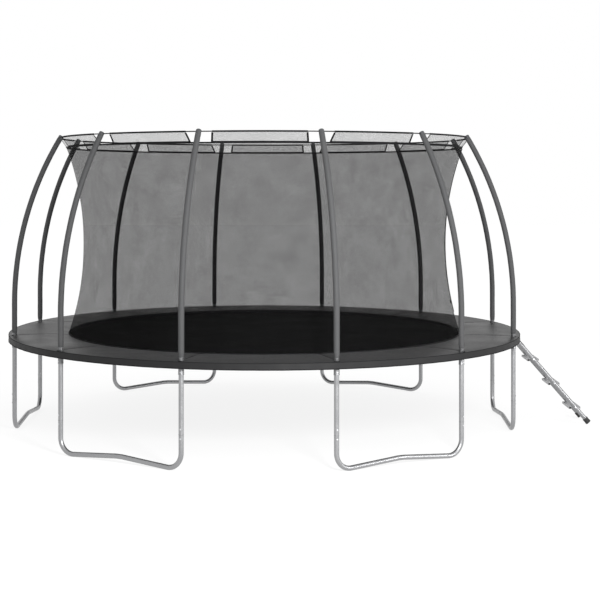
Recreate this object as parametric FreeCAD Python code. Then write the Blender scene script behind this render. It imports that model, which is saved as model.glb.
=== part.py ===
import FreeCAD, Part
import math
import os

# Round garden trampoline with a safety net on curved padded poles. Millimetres, +Z up.
# The origin is on the ground under the centre of the mat, and the ladder hangs on the +X side.
# Tubes are drawn with flat sides and mitred bends, so that the many repeats stay light.

# Counts
BAYS = 12                     # rails, tee joints, legs and poles
FOOT_PAIRS = 6                # W-shaped feet, each under two legs
SPRINGS_PER_BAY = 8
TREADS = 3

# Frame tubes
RING_RADIUS = 2420.0          # centre line of the rails, legs and poles
RAIL_HEIGHT = 860.0
TUBE_RADIUS = 21.0
TUBE_WALL = 1.6
TUBE_SIDES = 8
RAIL_RUNS = 3                 # straight runs that stand for the bend of one rail
FIT = 0.3                     # clearance between a tube and its socket

# Tee joints
TEE_HALF_LENGTH = 60.0
TEE_WALL = 2.7
TEE_SIDES = 8
TEE_WEB = 3.0                 # metal left between the crossing sockets
LEG_SOCKET_DEPTH = 75.0       # from the middle of the rail down to the socket's mouth
POLE_SOCKET_DEPTH = 65.0

# Legs and feet
LEG_JOINT_HEIGHT = 300.0      # lower end of the upper leg
SPIGOT_LENGTH = 70.0          # drawn-down end of the foot inside the upper leg
SPIGOT_TAPER = 6.0
FOOT_BEND_RADIUS = 130.0
FOOT_BEND_RUNS = 3
FOOT_RISE = 35.0              # lift of the middle of a foot above its two low points
FOOT_CREST = 60.0             # flat length at that middle

# Poles and their padded sleeves
POLE_RADIUS = 19.0
POLE_SIDES = 8
POLE_STRAIGHT = 340.0         # straight length of a pole above the middle of the rail
POLE_BEND_RADIUS = 3050.0
POLE_RUNS = 4
SLEEVE_PADDING = 5.7          # thickness of the sleeve at its corners
SLEEVE_SIDES = 8
SLEEVE_GATHER = 24.0          # length over which the sleeve is drawn in at its foot
SLEEVE_GATHER_WALL = 1.5      # wall that is left where it is drawn in
CAP_INSET = 1.0               # how far a cap's side lies inside the sleeve's
CAP_LENGTH = 34.0

# Ring of rods that spreads the net at the top
ROD_RING_RISE = 1904.0        # height of the ring above the middle of the rail
ROD_RADIUS = 5.0
ROD_SIDES = 6
LOOP_WALL = 2.5               # cloth loop sewn round the rod
FLAP_THICKNESS = 2.5
FLAP_GAP_TOP = 3.4            # degrees each side of a pole that the flap leaves free
FLAP_GAP_FOOT = 2.8

# Net
FLAP_DROP = 93.0              # from the rods down to the middle of the top hem
FLAP_LEAN = 63.5              # how far that hem lies inside the rods
NET_SAG = 152.0               # how far the net is drawn in between its hems
NET_RUNS = 9                  # straight runs from hem to hem
NET_THICKNESS = 3.0
NET_FACETS = 2                # flat facets across one bay
HEM_THICKNESS = 5.0
HEM_HEIGHT = 14.0
FOOT_HEM_HEIGHT = 24.0

# Door zip on the net
ZIP_AZIMUTH = -7.5            # middle of a facet beside the ladder
ZIP_WIDTH = 28.0
ZIP_THICKNESS = 3.0
ZIP_FIRST_RUN = 1             # the tape starts above this many runs
SLIDER_WIDTH = 16.0
SLIDER_LENGTH = 30.0
SLIDER_THICKNESS = 9.0
PULL_LENGTH = 42.0
PULL_WIDTH = 11.0
PULL_THICKNESS = 3.0

# Jumping mat and springs
SPRING_SPAN = 270.0           # from the middle of the rail in to the mat's edge
MAT_RISE = 13.0               # top of the mat above the middle of the rail
MAT_THICKNESS = 3.0
MAT_SIDES = 48
SPRING_RADIUS = 11.0
SPRING_TIP_RADIUS = 2.5
SPRING_CONE = 16.0            # length of the tapered end with its hook
SPRING_SIDES = 4

# Safety pad with its hanging skirt
PAD_OVER_MAT = 245.0          # how far the pad reaches in over the mat
PAD_OVERHANG = 54.0           # how far its skirt lies outside the middle of the rail
PAD_INNER_RIM = 15.0          # thickness at the two rims
PAD_OUTER_RIM = 8.0
PAD_CROWN = 15.0              # rise of the foam between its rims
PAD_CROWN_POINTS = 4
PAD_LIFT_START = 32.0         # inside the mat's edge, where the underside climbs over the springs
PAD_LIFT_END = 22.0           # outside the mat's edge, where it is level again
PAD_FACETS = 4
PAD_EDGE_TUCK = 6.0
SKIRT_HEIGHT = 56.5
SKIRT_THICKNESS = 2.0
POLE_HOLE_PLAY = 1.0

# Ladder
LADDER_ANGLE = 49.0           # slope below level
LADDER_WIDTH = 350.0          # between the centre lines of its side tubes
LADDER_DROP = 5.0             # how far those lines pass below the middle of the frame rail
LADDER_TUBE_TOP = 24.0        # start of the tube, from the centre of the frame rail
TREAD_PITCH = 306.0
TREAD_DEPTH = 112.0
TREAD_THICKNESS = 3.0
TREAD_LIP = 20.0
HOOK_THICKNESS = 3.0
HOOK_WIDTH = 26.0
HOOK_TAIL = 150.0
HOOK_TAIL_BEND = 40.0
HOOK_WRAP = 190.0             # degrees of the frame rail that a hook goes round
HOOK_RUNS = 8
BOOT_RADIUS = 28.0
BOOT_LENGTH = 52.0
BOOT_COVER = 40.0             # how much of the tube a boot covers
STOP_SIZE = 18.0
STOP_LENGTH = 6.0

SEAT = 0.3                    # gap between pieces that lie on each other

BAY = 360.0 / BAYS
HALF_BAY = BAY / 2
TEE_BOTTOM = RAIL_HEIGHT - LEG_SOCKET_DEPTH
TEE_TOP = RAIL_HEIGHT + POLE_SOCKET_DEPTH
ROD_RING_HEIGHT = RAIL_HEIGHT + ROD_RING_RISE
NET_TOP_HEIGHT = ROD_RING_HEIGHT - FLAP_DROP
MAT_RADIUS = RING_RADIUS - SPRING_SPAN
MAT_TOP = RAIL_HEIGHT + MAT_RISE
PAD_INNER_RADIUS = MAT_RADIUS - PAD_OVER_MAT
PAD_OUTER_RADIUS = RING_RADIUS + PAD_OVERHANG
UP = FreeCAD.Vector(0, 0, 1)
ORIGIN = FreeCAD.Vector(0, 0, 0)
OUTWARD = FreeCAD.Vector(1, 0, 0)
SIDEWAYS = FreeCAD.Vector(0, 1, 0)
nodes = {}


def polar(radius, azimuth, height):
    angle = math.radians(azimuth)
    return FreeCAD.Vector(radius * math.cos(angle), radius * math.sin(angle), height)


def apothem(radius, sides):
    return radius * math.cos(math.pi / sides)


def around_apothem(inner, sides):
    """Corner radius of a regular polygon whose flats lie at a given distance."""
    return inner / math.cos(math.pi / sides)


def flat_face(points):
    return Part.Face(Part.makePolygon(list(points) + [points[0]]))


def skin(sections):
    """Flat four-cornered faces from each section to the next."""
    faces = []
    for first, second in zip(sections, sections[1:]):
        for i in range(len(first)):
            faces.append(flat_face([first[i - 1], first[i], second[i], second[i - 1]]))
    return faces


def solid_between(sections):
    """Closed solid through a row of sections."""
    faces = skin(sections) + [flat_face(sections[0]), flat_face(sections[-1])]
    solid = Part.Solid(Part.Shell(faces))
    if solid.Volume < 0:
        solid.reverse()
    return solid


def polygon_about(centre, along, radius, sides, flat_on=None):
    """Corners of a regular polygon square to a direction, one flat facing flat_on if given."""
    aim = flat_on or UP
    first = (aim - along * aim.dot(along)).normalize()
    second = along.cross(first)
    start = math.pi / sides if flat_on else 0.0
    corners = []
    for i in range(sides):
        angle = start + 2 * math.pi * i / sides
        corners.append(centre + first * (radius * math.cos(angle)) + second * (radius * math.sin(angle)))
    return corners


def tube_sections(path, radius, sides, flat_on=None):
    """Sections of a tube along a path, each cut on the plane that halves the turn there."""
    radii = radius if isinstance(radius, list) else [radius] * len(path)
    runs = [(b - a).normalize() for a, b in zip(path, path[1:])]
    corners = polygon_about(path[0], runs[0], radii[0], sides, flat_on)
    sections = [corners]
    for i in range(1, len(path)):
        run = runs[i - 1]
        cut = run + runs[i] if i < len(runs) else run
        slid = [c + run * ((path[i] - c).dot(cut) / run.dot(cut)) for c in corners]
        corners = [path[i] + (c - path[i]) * (radii[i] / radii[i - 1]) for c in slid]
        sections.append(corners)
    return sections


def tube(path, radius, sides, flat_on=None):
    return solid_between(tube_sections(path, radius, sides, flat_on))


def pipe(path, radius, sides, bore_radius, bore_sides, flat_on=None):
    """Tube with a bore that runs out past both of its ends."""
    first_run = (path[1] - path[0]).normalize()
    last_run = (path[-1] - path[-2]).normalize()
    bore_path = [path[0] - first_run] + path[1:-1] + [path[-1] + last_run]
    bore = tube(bore_path, bore_radius, bore_sides, flat_on)
    return tube(path, radius, sides, flat_on).cut(bore)


def faceted_ring(profile, azimuths):
    """Solid of flat facets: a profile of (radius, height) points stood at each azimuth."""
    return solid_between([[polar(r, a, z) for r, z in profile] for a in azimuths])


def turned(shape, azimuth):
    copy = shape.copy()
    copy.rotate(ORIGIN, UP, azimuth)
    return copy


def at_every_pole(shape):
    return [turned(shape, HALF_BAY + BAY * i) for i in range(BAYS)]


def at_every_bay(shape):
    return [turned(shape, BAY * i) for i in range(BAYS)]


def block(centre, along, across, size_along, size_across, size_through):
    """Box about a point with two of its directions given."""
    through = along.cross(across)
    start = centre - along * (size_along / 2) - across * (size_across / 2) - through * (size_through / 2)
    corners = [start, start + along * size_along, start + along * size_along + across * size_across,
               start + across * size_across]
    return flat_face(corners).extrude(through * size_through)


def facet_radius(corner_radius, azimuth, corner_azimuths):
    """Distance from the axis to the side of a polygon at an azimuth, given where its corners are."""
    low = max([corner for corner in corner_azimuths[:-1] if corner <= azimuth], default=corner_azimuths[0])
    high = min([corner for corner in corner_azimuths if corner > low])
    half = math.radians((high - low) / 2)
    return corner_radius * math.cos(half) / math.cos(math.radians(azimuth - (low + high) / 2))


def bay_azimuths(facets):
    """Corner azimuths of a bay centred on +X, in a number of equal facets."""
    return [-HALF_BAY + BAY * i / facets for i in range(facets + 1)]


# Frame: rails, tee joints, legs and feet
tee_half_angle = math.degrees(math.asin(TEE_HALF_LENGTH / RING_RADIUS))
tee_line_radius = RING_RADIUS * math.cos(math.radians(tee_half_angle))
tube_flat = apothem(TUBE_RADIUS, TUBE_SIDES)
pole_flat = apothem(POLE_RADIUS, POLE_SIDES)
leg_socket = TUBE_RADIUS + FIT
socket_offset = tube_flat + FIT + TEE_WEB
leg_top = RAIL_HEIGHT - socket_offset - FIT
pole_foot = RAIL_HEIGHT + socket_offset + FIT
leg_bore = TUBE_RADIUS - TUBE_WALL
spigot_radius = around_apothem(apothem(leg_bore, TUBE_SIDES) - FIT, TUBE_SIDES)
pole_bore = around_apothem(pole_flat + FIT, POLE_SIDES)


def rail_corners():
    """Azimuths at which the rail of the bay on +X changes direction."""
    first = -HALF_BAY + tee_half_angle
    step = -2 * first / RAIL_RUNS
    return [first + step * i for i in range(RAIL_RUNS + 1)]


def frame_rail():
    end = HALF_BAY - math.degrees(FIT / RING_RADIUS)
    path = [polar(tee_line_radius, -end, RAIL_HEIGHT)]
    path += [polar(RING_RADIUS, azimuth, RAIL_HEIGHT) for azimuth in rail_corners()]
    path.append(polar(tee_line_radius, end, RAIL_HEIGHT))
    return tube(path, TUBE_RADIUS, TUBE_SIDES, UP)


def rail_flank(rise):
    """Half width of the rail's section at a height above its middle."""
    leans = [2 * math.pi * i / TUBE_SIDES for i in range(1, TUBE_SIDES // 4 + 1)]
    return min((tube_flat - rise * math.cos(lean)) / math.sin(lean) for lean in leans)


def tee_joint():
    """Cross of a rail sleeve, a leg socket below it and a pole socket above it, on the +X axis."""
    def along_rail(half_length, flat, sides):
        ends = [FreeCAD.Vector(tee_line_radius, side * half_length, RAIL_HEIGHT) for side in (-1, 1)]
        return tube(ends, around_apothem(flat, sides), sides, UP)

    def upright(low, high, flat, sides):
        return tube([polar(RING_RADIUS, 0, low), polar(RING_RADIUS, 0, high)],
                    around_apothem(flat, sides), sides, OUTWARD)

    body = along_rail(TEE_HALF_LENGTH, tube_flat + FIT + TEE_WALL, TUBE_SIDES)
    body = body.fuse([upright(TEE_BOTTOM, RAIL_HEIGHT, leg_socket + TEE_WALL, TEE_SIDES),
                      upright(RAIL_HEIGHT, TEE_TOP, pole_flat + FIT + TEE_WALL, POLE_SIDES)])
    bores = [along_rail(TEE_HALF_LENGTH + 1, tube_flat + FIT, TUBE_SIDES),
             upright(TEE_BOTTOM - 1, RAIL_HEIGHT - socket_offset, leg_socket, TEE_SIDES),
             upright(RAIL_HEIGHT + socket_offset, TEE_TOP + 1, pole_flat + FIT, POLE_SIDES)]
    return body.cut(bores).removeSplitter()


def upper_legs():
    """The two legs over the foot on the +X axis, turned as its bent ends are."""
    legs = []
    for side in (-1, 1):
        low = polar(RING_RADIUS, side * HALF_BAY, LEG_JOINT_HEIGHT)
        high = polar(RING_RADIUS, side * HALF_BAY, leg_top)
        legs.append(pipe([low, high], TUBE_RADIUS, TUBE_SIDES, leg_bore, TUBE_SIDES, OUTWARD))
    return legs


def foot_path():
    """Half of a foot in its own plane, from a spigot down round the bend to the raised middle."""
    half_span = RING_RADIUS * math.sin(math.radians(HALF_BAY))
    run = half_span - FOOT_CREST / 2 - FOOT_BEND_RADIUS
    slope = math.atan2(FOOT_RISE, run)
    turn = math.pi / 2 + slope
    low = TUBE_RADIUS
    centre_y = half_span - FOOT_BEND_RADIUS
    centre_z = low + FOOT_BEND_RADIUS * math.cos(slope)
    shoulder = LEG_JOINT_HEIGHT - FIT
    points = [(half_span, shoulder + SPIGOT_LENGTH), (half_span, shoulder), (half_span, shoulder - SPIGOT_TAPER)]
    for i in range(FOOT_BEND_RUNS + 1):
        angle = turn * i / FOOT_BEND_RUNS
        points.append((centre_y + FOOT_BEND_RADIUS * math.cos(angle), centre_z - FOOT_BEND_RADIUS * math.sin(angle)))
    rise_start = points[-1]
    points.append((FOOT_CREST / 2, rise_start[1] + (rise_start[0] - FOOT_CREST / 2) * math.tan(slope)))
    return points


def w_foot():
    plane_x = RING_RADIUS * math.cos(math.radians(HALF_BAY))
    half = foot_path()
    points = [FreeCAD.Vector(plane_x, y, z) for y, z in half]
    points += [FreeCAD.Vector(plane_x, -y, z) for y, z in reversed(half)]
    radii = [spigot_radius] * 2 + [TUBE_RADIUS] * (len(points) - 4) + [spigot_radius] * 2
    return tube(points, radii, TUBE_SIDES, OUTWARD)


# Poles, sleeves and caps
rod_flat = apothem(ROD_RADIUS, ROD_SIDES)
loop_bore = around_apothem(rod_flat + FIT, ROD_SIDES)
sleeve_radius = pole_bore + SLEEVE_PADDING
pole_straight_top = RAIL_HEIGHT + POLE_STRAIGHT
pole_sweep = math.asin((ROD_RING_HEIGHT - pole_straight_top) / POLE_BEND_RADIUS)
rod_ring_radius = RING_RADIUS - POLE_BEND_RADIUS * (1 - math.cos(pole_sweep))
pole_end_sweep = pole_sweep - CAP_LENGTH / 2 / POLE_BEND_RADIUS


def pole_line(*foot_heights):
    """Centre line of the pole on the +X axis, from heights on its straight part up to its end."""
    points = [polar(RING_RADIUS, 0, height) for height in (*foot_heights, pole_straight_top)]
    for i in range(1, POLE_RUNS + 1):
        angle = pole_end_sweep * i / POLE_RUNS
        drawn_in = POLE_BEND_RADIUS * (1 - math.cos(angle))
        points.append(polar(RING_RADIUS - drawn_in, 0, pole_straight_top + POLE_BEND_RADIUS * math.sin(angle)))
    return points


def pole_tube():
    return tube(pole_line(pole_foot), POLE_RADIUS, POLE_SIDES, OUTWARD)


def pole_sleeve():
    """Padded sleeve that slides over the pole and is drawn in just above the tee joint."""
    line = pole_line(TEE_TOP + SEAT, TEE_TOP + SLEEVE_GATHER)
    radii = [pole_bore + SLEEVE_GATHER_WALL] + [sleeve_radius] * (len(line) - 1)
    first_run = (line[1] - line[0]).normalize()
    last_run = (line[-1] - line[-2]).normalize()
    bore_line = [line[0] - first_run] + line[2:-1] + [line[-1] + last_run]
    bore = tube(bore_line, pole_bore, POLE_SIDES, OUTWARD)
    return tube(line, radii, SLEEVE_SIDES, OUTWARD).cut(bore)


def pole_cap():
    """Plug on the end of a pole, cross-bored for the two rods that meet in it."""
    line = pole_line(pole_foot)
    along = (line[-1] - line[-2]).normalize()
    start = line[-1] + along * SEAT
    body = tube([start, start + along * CAP_LENGTH], sleeve_radius - CAP_INSET, POLE_SIDES, OUTWARD)
    rods = [polar(rod_ring_radius, BAY / NET_FACETS * i, ROD_RING_HEIGHT) for i in (-1, 0, 1)]
    return body.cut(tube(rods, loop_bore, ROD_SIDES, UP))


# Ring of rods, flaps and net
net_corners = bay_azimuths(NET_FACETS)
net_top_radius = rod_ring_radius - FLAP_LEAN


def on_net_facets(radius, azimuth, height):
    return polar(facet_radius(radius, azimuth, net_corners), azimuth, height)


def rod_line(trim):
    """Line of the top ring over one bay, stopping short of both poles by an angle."""
    ends = [-HALF_BAY + trim, HALF_BAY - trim]
    points = [on_net_facets(rod_ring_radius, ends[0], ROD_RING_HEIGHT)]
    points += [polar(rod_ring_radius, azimuth, ROD_RING_HEIGHT) for azimuth in net_corners[1:-1]]
    points.append(on_net_facets(rod_ring_radius, ends[1], ROD_RING_HEIGHT))
    return points


def ring_rod():
    """Rod over one bay, whose ends meet their neighbours inside the pole caps."""
    corner = ROD_RADIUS * math.tan(math.radians(HALF_BAY / NET_FACETS))
    return tube(rod_line(math.degrees((corner + FIT) / rod_ring_radius)), ROD_RADIUS, ROD_SIDES, UP)


def rod_loop():
    loop_radius = around_apothem(rod_flat + FIT + LOOP_WALL, ROD_SIDES)
    return pipe(rod_line(FLAP_GAP_TOP), loop_radius, ROD_SIDES, loop_bore, ROD_SIDES, UP)


def net_flap():
    """Sheet between the rod loop and the top hem, with slanted ends that clear the poles."""
    low = NET_TOP_HEIGHT + HEM_HEIGHT / 2 + SEAT
    high = ROD_RING_HEIGHT - rod_flat - FIT - LOOP_WALL - SEAT
    half = FLAP_THICKNESS / 2
    profile = [(net_top_radius + half, low), (rod_ring_radius + half, high),
               (rod_ring_radius - half, high), (net_top_radius - half, low)]
    band = faceted_ring(profile, net_corners)
    half_foot = net_top_radius * math.sin(math.radians(HALF_BAY - FLAP_GAP_FOOT))
    half_top = rod_ring_radius * math.sin(math.radians(HALF_BAY - FLAP_GAP_TOP))
    near = net_top_radius * math.cos(math.radians(BAY))
    outline = [FreeCAD.Vector(near, y, z) for y, z in ((-half_foot, low), (half_foot, low),
                                                       (half_top, high), (-half_top, high))]
    return band.common(flat_face(outline).extrude(OUTWARD * rod_ring_radius))


def band_about(radius, height, thickness, tall):
    """One bay of a flat band whose middle lies at a radius and height."""
    rise, reach = tall / 2, thickness / 2
    profile = [(radius + reach, height - rise), (radius + reach, height + rise),
               (radius - reach, height + rise), (radius - reach, height - rise)]
    return faceted_ring(profile, net_corners)


foot_hem_bottom = MAT_TOP + 2 * SEAT
net_low = foot_hem_bottom + FOOT_HEM_HEIGHT + SEAT
net_high = NET_TOP_HEIGHT - HEM_HEIGHT / 2 - SEAT
foot_hem_radius = PAD_INNER_RADIUS - SEAT - HEM_THICKNESS / 2


def net_arc():
    """Centre radius, centre height and radius of the arc that the net's profile follows."""
    chord_radius = net_top_radius - foot_hem_radius
    chord_height = net_high - net_low
    half_chord = math.hypot(chord_radius, chord_height) / 2
    arc = (half_chord ** 2 + NET_SAG ** 2) / (2 * NET_SAG)
    lean = math.atan2(chord_radius, chord_height)
    reach = arc - NET_SAG
    return ((net_top_radius + foot_hem_radius) / 2 + reach * math.cos(lean),
            (net_high + net_low) / 2 - reach * math.sin(lean), arc)


net_centre_radius, net_centre_height, net_arc_radius = net_arc()


def net_line():
    """Outer side of the net from hem to hem, as (radius, height) points."""
    low = math.asin((net_low - net_centre_height) / net_arc_radius)
    high = math.asin((net_high - net_centre_height) / net_arc_radius)
    points = []
    for i in range(NET_RUNS + 1):
        angle = low + (high - low) * i / NET_RUNS
        points.append((net_centre_radius - net_arc_radius * math.cos(angle),
                       net_centre_height + net_arc_radius * math.sin(angle)))
    return points


def beside(line, distance):
    """A line of flat points moved sideways, mitred at its corners, with its ends kept level."""
    moved = []
    for i, (x, y) in enumerate(line):
        before = line[max(i - 1, 0)]
        after = line[min(i + 1, len(line) - 1)]
        lean = math.atan2(after[0] - before[0], after[1] - before[1])
        moved.append((x + distance / math.cos(lean), y))
    return moved


def net_gore():
    outer = net_line()
    return faceted_ring(outer + beside(outer, -NET_THICKNESS)[::-1], net_corners)


# Door zip
zip_squeeze = math.cos(math.radians(HALF_BAY / NET_FACETS))


def zip_line(offset):
    """Line outside the middle of a net facet, as (radius, height) points."""
    line = [(radius * zip_squeeze, height) for radius, height in net_line()]
    return beside(line, offset)


def door_zip():
    inner = zip_line(SEAT)[ZIP_FIRST_RUN:]
    outer = zip_line(SEAT + ZIP_THICKNESS)[ZIP_FIRST_RUN:]
    half = ZIP_WIDTH / 2
    sections = []
    for (inner_radius, height), (outer_radius, _) in zip(inner, outer):
        sections.append([FreeCAD.Vector(inner_radius, -half, height), FreeCAD.Vector(outer_radius, -half, height),
                         FreeCAD.Vector(outer_radius, half, height), FreeCAD.Vector(inner_radius, half, height)])
    return turned(solid_between(sections), ZIP_AZIMUTH)


def zip_place():
    """Middle of the tape's lowest run, with the directions up along it and out from it."""
    low, high = zip_line(SEAT + ZIP_THICKNESS)[ZIP_FIRST_RUN:ZIP_FIRST_RUN + 2]
    start = FreeCAD.Vector(low[0], 0, low[1])
    along = (FreeCAD.Vector(high[0], 0, high[1]) - start)
    middle = start + along * 0.5
    along = along.normalize()
    return middle, along, FreeCAD.Vector(along.z, 0, -along.x)


def zip_slider():
    middle, along, out = zip_place()
    body = block(middle + out * (SEAT + SLIDER_THICKNESS / 2), along, SIDEWAYS,
                 SLIDER_LENGTH, SLIDER_WIDTH, SLIDER_THICKNESS)
    neck = block(middle + out * (SEAT + SLIDER_THICKNESS), along, SIDEWAYS,
                 SLIDER_LENGTH / 3, PULL_WIDTH / 2, PULL_THICKNESS * 2)
    return turned(body.fuse(neck), ZIP_AZIMUTH)


def zip_pull():
    """Tab that hangs from the slider, with the hole for a finger loop."""
    middle, along, out = zip_place()
    hang = middle + out * (SEAT * 2 + SLIDER_THICKNESS + PULL_THICKNESS * 1.5) - along * (PULL_LENGTH / 3)
    tab = block(hang, along, SIDEWAYS, PULL_LENGTH, PULL_WIDTH, PULL_THICKNESS)
    slot = block(hang - along * (PULL_LENGTH / 4), along, SIDEWAYS, PULL_LENGTH / 4, PULL_WIDTH / 2,
                 PULL_THICKNESS * 3)
    return turned(tab.cut(slot), ZIP_AZIMUTH)


# Mat and springs
spring_height = MAT_TOP - MAT_THICKNESS / 2


def mat():
    corners = [polar(MAT_RADIUS, 360.0 * i / MAT_SIDES, MAT_TOP - MAT_THICKNESS) for i in range(MAT_SIDES)]
    return flat_face(corners).extrude(UP * MAT_THICKNESS)


def spring(azimuth):
    """Barrel of one spring with its tapered ends, from the mat's edge to the inner side of its rail."""
    facet = 360.0 / MAT_SIDES
    corner = math.floor(azimuth / facet) * facet
    inner = facet_radius(MAT_RADIUS, azimuth, [corner, corner + facet]) + SEAT
    flank = rail_flank(spring_height - SPRING_TIP_RADIUS - RAIL_HEIGHT)
    outer = facet_radius(RING_RADIUS, azimuth, rail_corners()) - flank - SEAT
    line = [polar(r, azimuth, spring_height) for r in (inner, inner + SPRING_CONE, outer - SPRING_CONE, outer)]
    radii = [SPRING_TIP_RADIUS, SPRING_RADIUS, SPRING_RADIUS, SPRING_TIP_RADIUS]
    return tube(line, radii, SPRING_SIDES, UP)


def bay_springs():
    pitch = BAY / SPRINGS_PER_BAY
    return [spring(-HALF_BAY + pitch * (i + 0.5)) for i in range(SPRINGS_PER_BAY)]


# Ladder hooks come first, because the pad's underside clears them
hook_bend = math.radians(HOOK_WRAP / HOOK_RUNS / 2)
hook_inner = (TUBE_RADIUS + FIT) / math.cos(hook_bend)
hook_outer = (TUBE_RADIUS + FIT + HOOK_THICKNESS) / math.cos(hook_bend)
pad_underside = RAIL_HEIGHT + max(hook_outer, tube_flat + FIT + TEE_WALL) + SEAT
pad_corners = bay_azimuths(PAD_FACETS)
foam_radius = PAD_OUTER_RADIUS - SKIRT_THICKNESS - SEAT
pad_rest = MAT_TOP + SEAT
pad_inner_top = pad_rest + PAD_INNER_RIM
pad_outer_top = pad_underside + PAD_OUTER_RIM


def pad_profile():
    """Section of the pad: thin over the mat, lifted over the springs, with a full flat crown."""
    under = [(MAT_RADIUS - PAD_LIFT_START, pad_rest), (MAT_RADIUS + PAD_LIFT_END, pad_underside),
             (foam_radius - PAD_EDGE_TUCK, pad_underside)]
    over = []
    for i in range(PAD_CROWN_POINTS + 2):
        share = i / (PAD_CROWN_POINTS + 1)
        rim = pad_outer_top + (pad_inner_top - pad_outer_top) * share
        fullness = 1 - (2 * share - 1) ** 4
        over.append((foam_radius + (PAD_INNER_RADIUS - foam_radius) * share, rim + PAD_CROWN * fullness))
    return [(PAD_INNER_RADIUS, pad_rest)] + under + over


def pad_panel():
    """Pad over one bay, notched at both ends round the pole collars."""
    panel = faceted_ring(pad_profile(), pad_corners)
    widest = max(pole_flat + FIT + TEE_WALL, apothem(sleeve_radius, SLEEVE_SIDES))
    hole = around_apothem(widest + POLE_HOLE_PLAY, POLE_SIDES)
    post = tube([polar(RING_RADIUS, 0, MAT_TOP), polar(RING_RADIUS, 0, TEE_TOP)], hole, POLE_SIDES, OUTWARD)
    return panel.cut([turned(post, -HALF_BAY), turned(post, HALF_BAY)])


def skirt_panel():
    inner = PAD_OUTER_RADIUS - SKIRT_THICKNESS
    low = pad_outer_top - SKIRT_HEIGHT
    profile = [(PAD_OUTER_RADIUS, low), (PAD_OUTER_RADIUS, pad_outer_top), (inner, pad_outer_top), (inner, low)]
    return faceted_ring(profile, pad_corners)


# Ladder, hung on the middle run of the rail over the +X axis
slope = math.radians(LADDER_ANGLE)
down = FreeCAD.Vector(math.cos(slope), 0, -math.sin(slope))
square = FreeCAD.Vector(math.sin(slope), 0, math.cos(slope))
rail_middle = FreeCAD.Vector(facet_radius(RING_RADIUS, 0, rail_corners()), 0, RAIL_HEIGHT)
boot_reach = (LADDER_DROP + apothem(BOOT_RADIUS, TUBE_SIDES)) * math.cos(slope)
ladder_length = (RAIL_HEIGHT - boot_reach) / math.sin(slope)
tread_half_width = LADDER_WIDTH / 2 - tube_flat - SEAT
LADDER_SIDES = {"right": -1, "left": 1}


def ladder_point(side, distance):
    """Point on the centre line of a side tube, or between the two for side 0."""
    return rail_middle + SIDEWAYS * (side * LADDER_WIDTH / 2) + down * distance - square * LADDER_DROP


def ladder_side(side):
    tube_end = ladder_length - (BOOT_LENGTH - BOOT_COVER) - SEAT
    path = [ladder_point(side, LADDER_TUBE_TOP), ladder_point(side, tube_end)]
    return pipe(path, TUBE_RADIUS, TUBE_SIDES, leg_bore, TUBE_SIDES, square)


def ladder_hook(side):
    """Strap laid along the tube and bent over the frame rail."""
    bed = tube_flat - LADDER_DROP + SEAT
    inner = [(HOOK_TAIL, bed), (HOOK_TAIL_BEND, bed)]
    outer = [(HOOK_TAIL, bed + HOOK_THICKNESS), (HOOK_TAIL_BEND, bed + HOOK_THICKNESS)]
    for i in range(HOOK_RUNS + 1):
        angle = math.radians(HOOK_WRAP * i / HOOK_RUNS)
        inner.append((-hook_inner * math.sin(angle), hook_inner * math.cos(angle)))
        outer.append((-hook_outer * math.sin(angle), hook_outer * math.cos(angle)))
    start = rail_middle + SIDEWAYS * (side * LADDER_WIDTH / 2 - HOOK_WIDTH / 2)
    outline = [start + down * along + square * off for along, off in inner + outer[::-1]]
    return flat_face(outline).extrude(SIDEWAYS * HOOK_WIDTH)


def tread(number):
    """Level step folded from sheet, with a lip down its front and back."""
    half, lip, sheet = TREAD_DEPTH / 2, TREAD_LIP, TREAD_THICKNESS
    outline = [(-half, 0), (half, 0), (half, -lip), (half - sheet, -lip), (half - sheet, -sheet),
               (sheet - half, -sheet), (sheet - half, -lip), (-half, -lip)]
    start = ladder_point(0, TREAD_PITCH * number) - SIDEWAYS * tread_half_width
    corners = [start + FreeCAD.Vector(x, 0, z) for x, z in outline]
    return flat_face(corners).extrude(SIDEWAYS * (2 * tread_half_width))


def tread_stops(number):
    """Rubber stops that close the back corner of a step at each side."""
    reach = tread_half_width - STOP_LENGTH / 2
    below = -TREAD_THICKNESS - SEAT - STOP_SIZE / 2
    back = TREAD_THICKNESS + SEAT + STOP_SIZE / 2 - TREAD_DEPTH / 2
    centre = ladder_point(0, TREAD_PITCH * number) + FreeCAD.Vector(back, 0, below)
    return [block(centre + SIDEWAYS * (side * reach), OUTWARD, SIDEWAYS, STOP_SIZE, STOP_LENGTH, STOP_SIZE)
            for side in (-1, 1)]


def ladder_boot(side):
    """Rubber cup on the foot of a ladder tube."""
    path = [ladder_point(side, ladder_length - BOOT_LENGTH), ladder_point(side, ladder_length)]
    cup_radius = around_apothem(tube_flat + SEAT, TUBE_SIDES)
    cup = [path[0] - down, path[0] + down * BOOT_COVER]
    return tube(path, BOOT_RADIUS, TUBE_SIDES, square).cut(tube(cup, cup_radius, TUBE_SIDES, square))


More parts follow.
